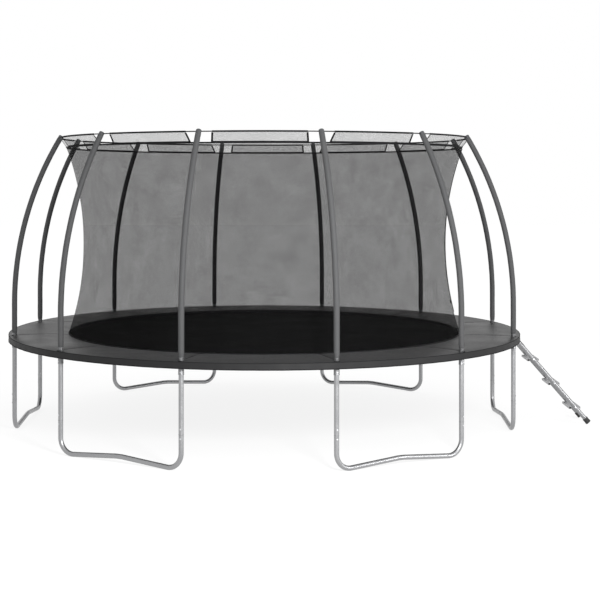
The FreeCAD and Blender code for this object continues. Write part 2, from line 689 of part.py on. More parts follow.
def build():
    rail, sleeve, foot, legs = frame_rail(), pole_sleeve(), w_foot(), upper_legs()
    leg_places = [2 * BAY * i for i in range(FOOT_PAIRS)]
    for i in range(BAYS):
        nodes["frame_rail_%02d" % (i + 1)] = turned(rail, BAY * i)
        nodes["pole_sleeve_%02d" % (i + 1)] = turned(sleeve, HALF_BAY + BAY * i)
    for i, azimuth in enumerate(leg_places):
        nodes["w_foot_%d" % (i + 1)] = turned(foot, azimuth)
    nodes["upper_legs"] = [turned(leg, azimuth) for azimuth in leg_places for leg in legs]
    nodes["tee_joints"] = at_every_pole(tee_joint())
    nodes["pole_tubes"] = at_every_pole(pole_tube())
    nodes["pole_caps"] = at_every_pole(pole_cap())
    nodes["top_ring_rods"] = at_every_bay(ring_rod())
    nodes["net_flaps"] = at_every_bay(rod_loop()) + at_every_bay(net_flap())
    nodes["net_top_hem"] = at_every_bay(band_about(net_top_radius, NET_TOP_HEIGHT, HEM_THICKNESS, HEM_HEIGHT))
    nodes["net_foot_hem"] = at_every_bay(band_about(foot_hem_radius, foot_hem_bottom + FOOT_HEM_HEIGHT / 2,
                                                    HEM_THICKNESS, FOOT_HEM_HEIGHT))
    nodes["enclosure_net"] = at_every_bay(net_gore())
    nodes["door_zip"] = door_zip()
    nodes["zip_slider"] = zip_slider()
    nodes["zip_pull"] = zip_pull()
    nodes["jumping_mat"] = mat()
    nodes["springs"] = [turned(one, BAY * i) for i in range(BAYS) for one in bay_springs()]
    nodes["safety_pad"] = at_every_bay(pad_panel())
    skirt = at_every_bay(skirt_panel())
    nodes["skirt_at_ladder"] = skirt[0]
    nodes["pad_skirt"] = skirt[1:]
    for name, side in LADDER_SIDES.items():
        nodes["ladder_side_" + name] = ladder_side(side)
        nodes["ladder_hook_" + name] = ladder_hook(side)
    for number in range(1, TREADS + 1):
        nodes["ladder_tread_%d" % number] = tread(number)
    nodes["ladder_boots"] = [ladder_boot(side) for side in LADDER_SIDES.values()]
    nodes["ladder_stops"] = [stop for number in range(1, TREADS + 1) for stop in tread_stops(number)]


def export():
    os.makedirs("parts", exist_ok=True)
    for name, shape in nodes.items():
        solids = shape if isinstance(shape, list) else [shape]
        whole = solids[0] if len(solids) == 1 else Part.makeCompound(solids)
        whole.exportStep("parts/" + name + ".step")


build()
export()
print(len(nodes), "nodes; net waist radius %.1f mm" % (net_centre_radius - net_arc_radius))
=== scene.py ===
# %% [markdown]
# # A round garden trampoline with a safety net
# This lesson dresses a finished steel frame. The frame comes in as plain meshes at their real
# places, in metres, with +Z up and the ground at zero. The looks are made here: smooth tubes,
# padded sleeves, a woven mat, a see-through net, coil springs and a foam pad under vinyl.

# %% Load the frame
import math
import bmesh
import bpy
import numpy as np
from mathutils import Matrix, Vector


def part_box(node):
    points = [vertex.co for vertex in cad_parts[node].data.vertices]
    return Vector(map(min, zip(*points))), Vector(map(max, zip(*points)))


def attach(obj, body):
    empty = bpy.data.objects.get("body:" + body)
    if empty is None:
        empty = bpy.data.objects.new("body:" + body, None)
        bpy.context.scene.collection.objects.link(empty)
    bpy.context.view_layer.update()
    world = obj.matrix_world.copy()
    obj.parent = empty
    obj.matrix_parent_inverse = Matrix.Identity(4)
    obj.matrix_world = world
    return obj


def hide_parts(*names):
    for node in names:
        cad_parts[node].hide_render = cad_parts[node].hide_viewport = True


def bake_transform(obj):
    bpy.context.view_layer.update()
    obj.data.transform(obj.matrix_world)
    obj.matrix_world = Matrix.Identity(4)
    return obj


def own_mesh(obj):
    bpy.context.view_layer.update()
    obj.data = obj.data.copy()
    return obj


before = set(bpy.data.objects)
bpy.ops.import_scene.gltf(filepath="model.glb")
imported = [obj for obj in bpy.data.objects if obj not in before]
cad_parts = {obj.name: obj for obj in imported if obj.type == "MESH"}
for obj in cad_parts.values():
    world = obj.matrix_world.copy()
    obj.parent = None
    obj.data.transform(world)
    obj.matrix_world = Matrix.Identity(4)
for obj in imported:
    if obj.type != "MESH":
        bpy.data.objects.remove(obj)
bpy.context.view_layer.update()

# %% [markdown]
# Nearly everything on this trampoline is repeated round a circle: twelve bays of 30 degrees,
# with a pole in every seam between them. The sizes that the whole lesson shares are read off the
# frame where they can be, so that the looks follow the steel.

# %% Shared sizes
BAYS = 12
TURN = 2 * math.pi
BAY = TURN / BAYS
HALF_BAY = BAY / 2


def middle_height(node):
    low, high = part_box(node)
    return (low.z + high.z) / 2


def polar(radius, azimuth, height):
    return Vector((radius * math.cos(azimuth), radius * math.sin(azimuth), height))


rail_height = middle_height("frame_rail_01")
tube_radius = 0.021
ring_radius = 2.420
mat_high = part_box("jumping_mat")[1]
mat_top = mat_high.z
mat_radius = mat_high.x
rod_height = middle_height("top_ring_rods")
rod_ring_radius = 1.9884
print("rail height %.4f, rod height %.4f" % (rail_height, rod_height))
print("mat top %.4f, mat radius %.4f" % (mat_top, mat_radius))

# %% [markdown]
# Shaders and Geometry Nodes are both node trees, and their maths reads best as ordinary Python.
# A `Wire` is one socket; adding or multiplying two wires quietly makes the Math node between
# them. `Tree.node` makes any other node: its type first, then its settings, then its sockets.

# %% Wires and trees
class Wire:
    def __init__(self, tree, socket):
        self.tree = tree
        self.socket = socket

    def math(self, operation, *values):
        return self.tree.node("ShaderNodeMath", {"operation": operation}, *values)

    def __add__(self, other):
        return self.math("ADD", self, other)

    def __sub__(self, other):
        return self.math("SUBTRACT", self, other)

    def __rsub__(self, other):
        return self.math("SUBTRACT", other, self)

    def __mul__(self, other):
        return self.math("MULTIPLY", self, other)

    __radd__ = __add__
    __rmul__ = __mul__

    def wave(self):
        """Sine of the value."""
        return self.math("SINE", self)

    def size(self):
        return self.math("ABSOLUTE", self)

    def root(self):
        return self.math("SQRT", self)

    def fading(self, reach):
        """1 at zero, falling away over a reach."""
        return self.math("EXPONENT", self * (-1 / reach))


class Tree:
    """A node tree with one method that makes any node and feeds it."""

    def node(self, kind, settings=None, *values, out=0, **named):
        made = self.tree.nodes.new(kind)
        for setting, value in (settings or {}).items():
            setattr(made, setting, value)
        for place, value in enumerate(values):
            self.feed(made.inputs[place], value)
        for name, value in named.items():
            self.feed(made.inputs[name.replace("_", " ")], value)
        return Wire(self, made.outputs[out])

    def feed(self, socket, value):
        if isinstance(value, Wire):
            self.tree.links.new(value.socket, socket)
        else:
            socket.default_value = value

    def part(self, vector, axis):
        return self.node("ShaderNodeSeparateXYZ", None, vector, out=axis)


# %% Shader helper
class Finish(Tree):
    """One material on the Principled shader, with constants set on its own sockets."""

    def __init__(self, name, base, roughness, metallic=0.0, **constants):
        self.material = bpy.data.materials.new(name)
        self.material.use_nodes = True
        self.tree = self.material.node_tree
        self.shader = self.tree.nodes["Principled BSDF"]
        self.shader.inputs["Base Color"].default_value = (*base, 1)
        self.shader.inputs["Roughness"].default_value = roughness
        self.shader.inputs["Metallic"].default_value = metallic
        for socket, value in constants.items():
            self.shader.inputs[socket.replace("_", " ")].default_value = value

    def place(self):
        """Object coordinates: metres in the frame of the whole trampoline."""
        return self.node("ShaderNodeTexCoord", out=3)

    def sheet_place(self):
        """The piece's own UV map, in metres along and across the cloth."""
        return self.node("ShaderNodeUVMap", {"uv_map": "cloth"})

    def noise(self, scale, detail=3.0):
        return self.node("ShaderNodeTexNoise", Vector=self.place(), Scale=scale, Detail=detail,
                         Roughness=0.55)

    def cells(self, scale, out="Distance"):
        return self.node("ShaderNodeTexVoronoi", Vector=self.place(), Scale=scale, out=out)

    def ramp(self, value, low, high, bottom=0.0, top=1.0):
        return self.node("ShaderNodeMapRange", {"clamp": True}, value, low, high, bottom, top)

    def mix(self, share, first, second):
        """Colour between two colours."""
        made = self.node("ShaderNodeMix", {"data_type": "RGBA"}, share, out=2)
        for socket, colour in zip(made.socket.node.inputs[6:8], (first, second)):
            self.feed(socket, (*colour, 1))
        return made

    def set(self, socket, value):
        self.feed(self.shader.inputs[socket], value)

    def bump(self, height, distance, strength=1.0):
        self.set("Normal", self.node("ShaderNodeBump", Strength=strength, Distance=distance,
                                     Height=height))


# %% [markdown]
# ## Finishes
# The tubes are galvanised: bright zinc with a faint cloudy spangle. A plain grey metal would do
# from afar, but up close zinc is patchy. So metallic is high, and a noise with small cells
# changes both the tone and the roughness. Joints are duller than tubes, and spring wire and
# screws brighter, so the tone is an argument.

# %% Galvanised steel
def galvanised_steel(name, tone=0.30):
    finish = Finish(name, (tone, tone, tone), 0.34, metallic=0.85)
    cloud = finish.noise(9.0, detail=4.0)
    grain = finish.part(finish.cells(140.0, out="Color"), 0)
    finish.set("Base Color", finish.mix(cloud * 0.6 + grain * 0.25, (tone * 0.86, tone * 0.87, tone * 0.9),
                                        (tone * 1.12, tone * 1.12, tone * 1.13)))
    finish.set("Roughness", finish.ramp(cloud + grain * 0.2, 0.3, 0.9, 0.27, 0.46))
    finish.bump(finish.noise(60.0), 0.0004, 0.25)
    return finish.material


zinc = galvanised_steel("galvanised_tube")
cast_zinc = galvanised_steel("galvanised_socket", 0.22)
bright_zinc = galvanised_steel("bright_screw", 0.55)
spring_wire = galvanised_steel("spring_wire", 0.42)
print("zinc finishes:", zinc.name, cast_zinc.name, bright_zinc.name, spring_wire.name)

# %% [markdown]
# The jumping mat is black woven cloth, and so are the webbing, the binding and the sleeves. The
# threads could be geometry only at a huge cost, so two crossed waves in the bump carry them. The
# waves read the cloth's own map, which turns the weave with the piece, and a broad faint cloud
# keeps the black from looking painted.

# %% Woven cloths
def woven_cloth(name, dark, light, pitch, roughness, depth=0.0004, gloss=0.25):
    finish = Finish(name, dark, roughness, Specular_IOR_Level=gloss)
    place = finish.sheet_place()
    along = (finish.part(place, 0) * (TURN / pitch)).wave()
    across = (finish.part(place, 1) * (TURN / pitch)).wave()
    threads = along * across
    cloud = finish.noise(3.0, detail=5.0)
    finish.set("Base Color", finish.mix(cloud * 0.5 + threads * 0.25 + 0.25, dark, light))
    finish.set("Roughness", finish.ramp(cloud, 0.3, 0.7, roughness - 0.06, roughness + 0.08))
    finish.bump(threads, depth, 0.6)
    return finish.material


mat_cloth = woven_cloth("jumping_mat_weave", (0.0010, 0.0010, 0.0011), (0.0026, 0.0026, 0.0027),
                        0.0032, 0.8, gloss=0.02)
webbing = woven_cloth("black_webbing", (0.005, 0.005, 0.0055), (0.011, 0.011, 0.012),
                      0.004, 0.75, gloss=0.1)
binding_cloth = woven_cloth("black_binding", (0.004, 0.004, 0.0045), (0.009, 0.009, 0.0095),
                            0.003, 0.8, gloss=0.1)
sleeve_cloth = woven_cloth("grey_sleeve_cloth", (0.036, 0.0365, 0.0375), (0.056, 0.0565, 0.058),
                           0.0022, 0.62, 0.0003)
print("cloths:", mat_cloth.name, webbing.name, binding_cloth.name, sleeve_cloth.name)

# %% [markdown]
# The net is knitted from thin black yarn with open holes of a few millimetres, too fine to
# model over twenty square metres. The holes are made in the alpha: two crossed waves make a
# diamond knit, and a slow noise makes it a little closer here and there, as real netting is.

# %% Net knit
HOLE_DEPTH = 0.34
KNIT_PITCH = 0.0045


def net_knit(name, cover, colour):
    """See-through knit; cover is the share of the light that the yarn stops on average."""
    finish = Finish(name, colour, 0.85, Specular_IOR_Level=0.05)
    place = finish.sheet_place()
    u, v = finish.part(place, 0) * (TURN / KNIT_PITCH), finish.part(place, 1) * (TURN / KNIT_PITCH)
    yarn = (u + v).wave().size() * (u - v).wave().size()
    closeness = finish.noise(110.0, detail=1.0)
    slow = finish.noise(5.0, detail=3.0)
    holes = yarn + (closeness - 0.5) * 0.3 + (slow - 0.5) * 0.2
    finish.set("Alpha", finish.ramp(holes, -0.05, 0.86, cover - HOLE_DEPTH, cover + HOLE_DEPTH))
    finish.bump(yarn, 0.0006, 0.5)
    return finish.material


net_yarn = net_knit("net_knit", 0.55, (0.0022, 0.0022, 0.0023))
flap_yarn = net_knit("flap_knit", 0.41, (0.008, 0.008, 0.0085))
print("knits:", net_yarn.name, flap_yarn.name)

# %% [markdown]
# The pad's cover is black vinyl cloth with a fine leather grain and a satin gloss. The gloss is
# what makes it grey at the sides, where it mirrors the bright room, so its strength is set with
# more care than its colour. Small cells give the grain, and a noise with a hard edge the scuffs.

# %% Pad vinyl
def pad_vinyl(name, dark, light, roughness):
    finish = Finish(name, dark, roughness, Specular_IOR_Level=0.31)
    grain = finish.cells(520.0)
    cloud = finish.noise(2.5, detail=5.0)
    scuff = finish.ramp(finish.noise(40.0, detail=6.0), 0.57, 0.67)
    finish.set("Base Color", finish.mix(cloud * 0.7 + scuff * 0.3, dark, light))
    finish.set("Roughness", finish.ramp(cloud + scuff * 0.25, 0.3, 0.95, roughness - 0.05,
                                        roughness + 0.12))
    finish.bump(grain * 0.5 + cloud * 3.0, 0.0005, 0.35)
    return finish.material


vinyl = pad_vinyl("pad_vinyl", (0.007, 0.007, 0.0073), (0.013, 0.013, 0.0135), 0.46)
skirt_vinyl = pad_vinyl("skirt_vinyl", (0.0035, 0.0035, 0.0038), (0.007, 0.007, 0.0075), 0.64)

# %% [markdown]
# The small parts are rubber boots, moulded pole caps, coated rods, sewing thread and the dark
# metal of the zip slider. All have an even colour with a fine speck, so one function with
# a colour, a roughness and a gloss makes every one of them.

# %% Small finishes
def moulded(name, colour, roughness, metallic=0.0, gloss=0.5):
    finish = Finish(name, colour, roughness, metallic=metallic, Specular_IOR_Level=gloss)
    speck = finish.noise(700.0, detail=2.0)
    cloud = finish.noise(22.0, detail=4.0)
    lighter = tuple(min(1.0, value * 1.45 + 0.004) for value in colour)
    finish.set("Base Color", finish.mix(cloud * 0.6 + speck * 0.3, colour, lighter))
    finish.set("Roughness", finish.ramp(cloud, 0.3, 0.7, roughness - 0.07, roughness + 0.1))
    finish.bump(speck, 0.0002, 0.4)
    return finish.material


rubber = moulded("black_rubber", (0.008, 0.008, 0.008), 0.72)
cap_plastic = moulded("grey_cap_plastic", (0.036, 0.037, 0.039), 0.6, gloss=0.3)
rod_coat = moulded("black_rod_coat", (0.004, 0.004, 0.0045), 0.7, gloss=0.15)
slider_metal = moulded("black_zip_metal", (0.025, 0.025, 0.027), 0.35, metallic=0.7)
thread = moulded("grey_thread", (0.05, 0.05, 0.052), 0.6)
tread_zinc = galvanised_steel("pressed_tread", 0.31)
tube_satin = galvanised_steel("ladder_tube", 0.25)
print(len(bpy.data.materials), "materials with those of the frame")


# %% [markdown]
# ## Making meshes
# A few small helpers serve every piece. `new_object` turns points and faces into an object,
# `rework` changes its mesh, `paint_cloth_map` lays a UV map in metres over it, and `dress`
# smooths it, gives it its cloth or metal and hangs it on the moving body it belongs to.

# %% Mesh helpers
WELD = 1e-5


def new_object(name, points, faces=(), edges=()):
    mesh = bpy.data.meshes.new(name)
    mesh.from_pydata([tuple(point) for point in points], list(edges), [tuple(face) for face in faces])
    mesh.update()
    made = bpy.data.objects.new(name, mesh)
    bpy.context.scene.collection.objects.link(made)
    return made


def rework(piece, change):
    """Change a piece's mesh with a bmesh operation."""
    work = bmesh.new()
    work.from_mesh(piece.data)
    change(work)
    work.to_mesh(piece.data)
    work.free()
    return piece


def fix_normals(piece):
    return rework(piece, lambda work: bmesh.ops.recalc_face_normals(work, faces=work.faces))


def paint_cloth_map(piece, places):
    """UV map named cloth; places gives two metres values for each point of the mesh."""
    layer = piece.data.uv_layers.get("cloth") or piece.data.uv_layers.new(name="cloth")
    corners = np.empty(len(piece.data.loops), np.int32)
    piece.data.loops.foreach_get("vertex_index", corners)
    layer.data.foreach_set("uv", np.asarray(places, np.float32)[corners].ravel())


def smooth(piece, angle=40):
    piece.data.polygons.foreach_set("use_smooth", [True] * len(piece.data.polygons))
    piece.data.set_sharp_from_angle(angle=math.radians(angle))
    return piece


def dress(piece, material, body, slot, *nodes, angle=40):
    """Give a finished mesh its material, hang it on a body and stand it for its CAD nodes; slot is not used.
    """
    if material is not None:
        piece.data.materials.clear()
        piece.data.materials.append(material)
    smooth(piece, angle)
    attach(piece, body)
    if nodes:
        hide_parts(*nodes)
    print(piece.name, len(piece.data.polygons), "faces")
    return piece


# %% [markdown]
# Geometry Nodes trees are built with one more helper, in the same spirit as the shader class:
# `Pattern` holds a tree, `ask` adds a named input, `node` adds any node. `bake` runs the tree
# once and keeps the result as a plain mesh.

# %% Geometry helpers
class Pattern(Tree):
    def __init__(self, name):
        self.tree = bpy.data.node_groups.new(name, "GeometryNodeTree")
        self.tree.interface.new_socket("Geometry", in_out="INPUT", socket_type="NodeSocketGeometry")
        self.tree.interface.new_socket("Geometry", in_out="OUTPUT", socket_type="NodeSocketGeometry")
        self.entry = self.tree.nodes.new("NodeGroupInput")
        self.exit = self.tree.nodes.new("NodeGroupOutput")
        self.shape = Wire(self, self.entry.outputs[0])
        self.values = {}

    def ask(self, name, value):
        """A named input of the tree, whose value is set on the modifier."""
        kind = {int: "NodeSocketInt", float: "NodeSocketFloat"}.get(type(value), "NodeSocketMaterial")
        socket = self.tree.interface.new_socket(name, in_out="INPUT", socket_type=kind)
        self.values[socket.identifier] = value
        return Wire(self, self.entry.outputs[name])

    def around(self, shape, count, start):
        """Copies of a shape turned about the middle of the trampoline."""
        spots = self.node("GeometryNodeMeshLine", Count=count, Start_Location=(0, 0, 0), Offset=(0, 0, 0))
        step = self.node("ShaderNodeMath", {"operation": "DIVIDE"}, TURN, count)
        facing = self.node("ShaderNodeCombineXYZ", Z=self.node("GeometryNodeInputIndex") * step + start)
        placed = self.node("GeometryNodeInstanceOnPoints", Points=spots, Instance=shape, Rotation=facing)
        return self.node("GeometryNodeRealizeInstances", Geometry=placed)

    def tube(self, line, radius, sides):
        ring = self.node("GeometryNodeCurvePrimitiveCircle", Resolution=sides, Radius=radius)
        return self.node("GeometryNodeCurveToMesh", Curve=line, Profile_Curve=ring, Fill_Caps=True)

    def close(self, shape, material):
        dressed = self.node("GeometryNodeSetMaterial", Geometry=shape, Material=self.ask("Finish", material))
        self.feed(self.exit.inputs[0], dressed)

    def bake(self, piece):
        """Run the tree once on a piece and keep its result as a plain mesh."""
        modifier = piece.modifiers.new("pattern", "NODES")
        modifier.node_group = self.tree
        for identifier, value in self.values.items():
            modifier[identifier] = value
        made = bpy.data.meshes.new_from_object(piece.evaluated_get(bpy.context.evaluated_depsgraph_get()))
        piece.modifiers.remove(modifier)
        made.name = piece.name
        piece.data = made
        return piece


def bent_tubes(name, points, radius, material, count, start=0.0, bend=0.0, sides=20, steps=8):
    """A tube bent along straight runs with round corners, copied round the ring."""
    piece = new_object(name, points, edges=[(i, i + 1) for i in range(len(points) - 1)])
    pattern = Pattern(name)
    line = pattern.node("GeometryNodeMeshToCurve", Mesh=pattern.shape)
    if bend:
        line = pattern.node("GeometryNodeFilletCurve", {"mode": "POLY"}, Curve=line, Count=steps,
                            Radius=pattern.ask("Bend radius", bend), Limit_Radius=True)
    shape = pattern.tube(line, pattern.ask("Tube radius", radius), pattern.ask("Sides", sides))
    shape = pattern.around(shape, pattern.ask("Copies", count), pattern.ask("First azimuth", float(start)))
    pattern.close(shape, material)
    return pattern.bake(piece)


def arc(radius, first, last, height, steps):
    return [polar(radius, first + (last - first) * i / steps, height) for i in range(steps + 1)]


# %% [markdown]
# ## The steel
# Twelve curved rails make the ring, pushed into tee joints. Each rail is one tube rolled to
# the ring's radius, so a tube swept along an arc is exactly how it is made.

# %% Rails
RAIL_RADIUS = 0.0202
RAIL_RING_RADIUS = 2.4165
rail_half = HALF_BAY - 0.003 / ring_radius
rail_line = arc(RAIL_RING_RADIUS, -rail_half, rail_half, rail_height, 24)
rails = bent_tubes("frame_rails", rail_line, RAIL_RADIUS, zinc, BAYS, sides=24)
dress(rails, None, "frame", "steel_tube", *["frame_rail_%02d" % (i + 1) for i in range(BAYS)])

# %% [markdown]
# A tee joint is a set of short sleeves welded in a cross, with their mouths slightly flared. It
# could be cut from solids with booleans, but the sleeves meet inside one another where nobody
# sees them. So each one is a turned profile, and the flare is one more ring of points.

# %% Tee joints
def hoop_faces(rings, sides, closed=False, capped=True):
    """Faces between hoops of points, which close into a ring or are capped at both ends."""
    faces = []
    for ring in range(rings if closed else rings - 1):
        here, there = ring * sides, (ring + 1) % rings * sides
        for k in range(sides):
            beside = (k + 1) % sides
            faces.append((here + k, here + beside, there + beside, there + k))
    if capped and not closed:
        faces += [tuple(reversed(range(sides))), tuple((rings - 1) * sides + k for k in range(sides))]
    return faces


def turned_profile(profile, sides=24):
    """Points and faces of a closed shape turned about Z from (radius, height) pairs."""
    points = [polar(radius, TURN * i / sides, height) for radius, height in profile for i in range(sides)]
    return points, hoop_faces(len(profile), sides)


def joined(parts):
    """One list of points and one of faces out of several shapes."""
    points, faces = [], []
    for more_points, more_faces in parts:
        faces += [tuple(len(points) + corner for corner in face) for face in more_faces]
        points += list(more_points)
    return points, faces


def moved(part, matrix):
    points, faces = part
    return [matrix @ point for point in points], faces


def copies(part, count, start=0.0):
    return joined([moved(part, Matrix.Rotation(start + TURN * i / count, 4, "Z")) for i in range(count)])


def socket_sleeve(radius, length):
    """Short sleeve with a rolled mouth at its far end, standing on the origin."""
    mouth = 0.0012
    return turned_profile([(radius, 0.0), (radius, length - 0.008), (radius + mouth, length - 0.004),
                           (radius + mouth, length - 0.001), (radius - 0.001, length)])


def stood(part, base, angle=0.0, axis="X"):
    """A shape turned about an axis and then stood at a place."""
    return moved(part, Matrix.Translation(base) @ Matrix.Rotation(angle, 4, axis))


RAIL_SOCKET_RADIUS = 0.0226
LEG_SOCKET_RADIUS = 0.0238
POLE_SOCKET_RADIUS = 0.0209
rail_socket = socket_sleeve(RAIL_SOCKET_RADIUS, 0.060)
rail_socket_place = Vector((ring_radius - 0.0010, 0, rail_height))
tee_place = Vector((ring_radius, 0, rail_height))
tee_parts = [
    stood(rail_socket, rail_socket_place, math.pi / 2),
    stood(rail_socket, rail_socket_place, -math.pi / 2),
    stood(socket_sleeve(LEG_SOCKET_RADIUS, 0.075), tee_place, math.pi),
    stood(socket_sleeve(POLE_SOCKET_RADIUS, 0.065), tee_place),
]
tees = new_object("tee_joints_steel", *copies(joined(tee_parts), BAYS, HALF_BAY))
dress(tees, cast_zinc, "frame", "steel_tube", "tee_joints", angle=50)

# %% [markdown]
# Each leg is in two lengths: a straight upper tube, and a W-shaped foot whose ends push up inside
# two legs. The real foot is one tube bent in a press. A curve with handles could follow it, but
# six corner points, rounded to the press's radius by the Fillet Curve node, say the same plainly.

# %% Legs and feet
leg_joint = 0.300
leg_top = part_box("upper_legs")[1].z
leg_points = [polar(ring_radius, HALF_BAY, leg_joint), polar(ring_radius, HALF_BAY, leg_top)]
legs = bent_tubes("upper_leg_tubes", leg_points, tube_radius, zinc, BAYS, sides=28)
dress(legs, None, "frame", "steel_tube", "upper_legs")

FOOT_RISE = 0.035
FOOT_CREST = 0.060
FOOT_BEND = 0.130
foot_low, foot_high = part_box("w_foot_1")
foot_plane = (foot_low.x + foot_high.x) / 2
foot_half_span = ring_radius * math.sin(HALF_BAY)
foot_slope = math.atan2(FOOT_RISE, foot_half_span - FOOT_CREST / 2 - FOOT_BEND)
foot_lowest = foot_low.z + tube_radius + FOOT_BEND * (1 - math.cos(foot_slope))
rise_per_metre = math.tan(foot_slope)
straight_run = foot_half_span - FOOT_BEND * (1 + math.sin(foot_slope)) - FOOT_CREST / 2
crest_height = foot_lowest + rise_per_metre * straight_run
corner_height = crest_height - rise_per_metre * (foot_half_span - FOOT_CREST / 2)
half_foot = [(foot_half_span, leg_joint - 0.0004), (foot_half_span, corner_height),
             (FOOT_CREST / 2, crest_height)]
foot_points = [Vector((foot_plane, y, z)) for y, z in half_foot]
foot_points += [Vector((foot_plane, -y, z)) for y, z in reversed(half_foot)]
feet = bent_tubes("w_shaped_feet", foot_points, tube_radius, zinc, 6, bend=FOOT_BEND, sides=28, steps=14)
dress(feet, None, "frame", "steel_tube", *["w_foot_%d" % (i + 1) for i in range(6)])

# %% [markdown]
# Where a foot meets its leg there is a seam with a small screw above and below it, and a third
# screw holds the leg in its joint. They are instanced round the ring by the same kind of tree.

# %% Leg screws
def screw_head(radius=0.0058, depth=0.0042):
    return turned_profile([(radius * 1.35, 0.0), (radius * 1.35, depth * 0.3), (radius, depth * 0.36),
                           (radius, depth * 0.85), (radius * 0.7, depth)], sides=6)


def round_ring(name, part, count, start, material):
    piece = new_object(name, *part)
    pattern = Pattern(name)
    shape = pattern.around(pattern.shape, pattern.ask("Copies", count),
                           pattern.ask("First azimuth", float(start)))
    pattern.close(shape, material)
    return pattern.bake(piece)


SCREW_HEIGHTS = (0.345, 0.268, 0.805)
leg_face = ring_radius + tube_radius - 0.0006
screw_parts = [stood(screw_head(), Vector((leg_face, 0, height)), math.pi / 2, "Y")
               for height in SCREW_HEIGHTS]
seam_profile = [(tube_radius + 0.0007, -0.002), (tube_radius + 0.0012, 0.0), (tube_radius + 0.0007, 0.002)]
leg_seam = stood(turned_profile(seam_profile, 28), Vector((ring_radius, 0, leg_joint)))
screws = round_ring("leg_screws", joined(screw_parts), BAYS, HALF_BAY, bright_zinc)
dress(screws, None, "frame", "steel_tube")
seams = round_ring("leg_seams", leg_seam, BAYS, HALF_BAY, cast_zinc)
dress(seams, None, "frame", "steel_tube")

# %% [markdown]
# ## Poles
# A pole is straight at its foot and then bends inwards on a large radius. One function gives
# its centre and directions at any length, and everything on the pole asks that function.

# %% Pole line
POLE_BEND = 3.050
POLE_STRAIGHT_TOP = 1.200
pole_sweep = math.asin((rod_height - POLE_STRAIGHT_TOP) / POLE_BEND)


def pole_frame(height_along):
    """Centre, outward and upward direction of the pole, by the length along it above the rail."""
    straight = POLE_STRAIGHT_TOP - rail_height
    if height_along <= straight:
        return Vector((ring_radius, 0, rail_height + height_along)), Vector((1, 0, 0)), Vector((0, 0, 1))
    angle = (height_along - straight) / POLE_BEND
    out = Vector((math.cos(angle), 0, math.sin(angle)))
    centre = Vector((ring_radius - POLE_BEND, 0, POLE_STRAIGHT_TOP)) + out * POLE_BEND
    return centre, out, Vector((-out.z, 0, out.x))


pole_length = POLE_STRAIGHT_TOP - rail_height + POLE_BEND * pole_sweep
print("pole length above the rail %.3f m" % pole_length)

# %% [markdown]
# Over the pole goes a padded sleeve of grey cloth round a foam tube. It is slightly uneven along
# its length, has a sewn seam down its inner side, and is drawn in at its foot. It is tight on
# its foam, so instead of a cloth simulation a few waves of their own for each sleeve shape a grid
# that is wrapped round the pole's line.

# %% Padded sleeves
SLEEVE_RADIUS = 0.0250
SLEEVE_SIDES = 24
SLEEVE_RINGS = 150
SLEEVE_FOOT = 0.0655
FOOT_GATHER = 0.045
sleeve_length = pole_length - 0.017 - SLEEVE_FOOT


def cloth_grid(point, place, rows, columns, flipped=False):
    """Points, faces and cloth places of a grid; point and place take two shares from 0 to 1."""
    row = columns + 1
    corners = (0, row, row + 1, 1) if flipped else (0, 1, row + 1, row)
    shares = [(j / rows, i / columns) for j in range(rows + 1) for i in range(row)]
    faces = [[j * row + i + corner for corner in corners] for j in range(rows) for i in range(columns)]
    return [point(*share) for share in shares], faces, [place(*share) for share in shares]


def sleeve_part(number):
    """The sleeve of one pole, with creases of its own."""
    phases = np.random.default_rng(100 + number).uniform(0, TURN, 8)
    turn = Matrix.Rotation(HALF_BAY + BAY * number, 4, "Z")

    def point(up, share_round):
        along, angle = SLEEVE_FOOT + sleeve_length * up, math.pi + TURN * share_round
        centre, out, _ = pole_frame(along)
        foot = min(1.0, sleeve_length * up / FOOT_GATHER)
        gather = 0.885 + 0.115 * math.sin(foot * math.pi / 2)
        ripple = 0.010 * math.sin(along * 23 + phases[0] + 2 * math.sin(angle + phases[1]))
        ripple += 0.008 * math.sin(along * 61 + phases[2] + 3 * angle)
        ripple += 0.020 * (1 - foot) * math.sin(9 * angle + phases[3])
        seam = 0.05 * math.exp(-(math.remainder(angle - math.pi, TURN) / 0.14) ** 2)
        radius = SLEEVE_RADIUS * (gather + ripple * 0.8 - seam)
        return turn @ (centre + out * (radius * math.cos(angle)) + Vector((0, radius * math.sin(angle), 0)))

    def place(up, share_round):
        return SLEEVE_RADIUS * (math.pi + TURN * share_round), SLEEVE_FOOT + sleeve_length * up

    return cloth_grid(point, place, SLEEVE_RINGS, SLEEVE_SIDES)


def cloth_piece(name, parts):
    """One object out of several grids, its meeting edges sewn shut once the cloth map is on."""
    points, faces = joined([(p, f) for p, f, _ in parts])
    piece = new_object(name, points, faces)
    paint_cloth_map(piece, [place for _, _, places in parts for place in places])
    return rework(piece, lambda work: bmesh.ops.remove_doubles(work, verts=work.verts, dist=WELD))


for number in range(BAYS):
    sleeve = cloth_piece("padded_sleeve_%02d" % (number + 1), [sleeve_part(number)])
    dress(sleeve, sleeve_cloth, "frame", "pole_cloth", "pole_sleeve_%02d" % (number + 1))

# %% [markdown]
# Inside the sleeve is the bent steel pole, which runs down into its tee joint through a hole
# in the pad. The pole is one more swept tube, and the plastic cap on its top a turned shape.

# %% Pole tubes and caps
pole_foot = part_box("pole_tubes")[0].z - rail_height
pole_top = pole_length - 0.018
pole_points = [pole_frame(pole_foot + (pole_top - pole_foot) * i / 40)[0] for i in range(41)]
pole_steel = bent_tubes("pole_steel", pole_points, 0.019, zinc, BAYS, HALF_BAY, sides=16)
dress(pole_steel, None, "frame", "steel_tube", "pole_tubes")

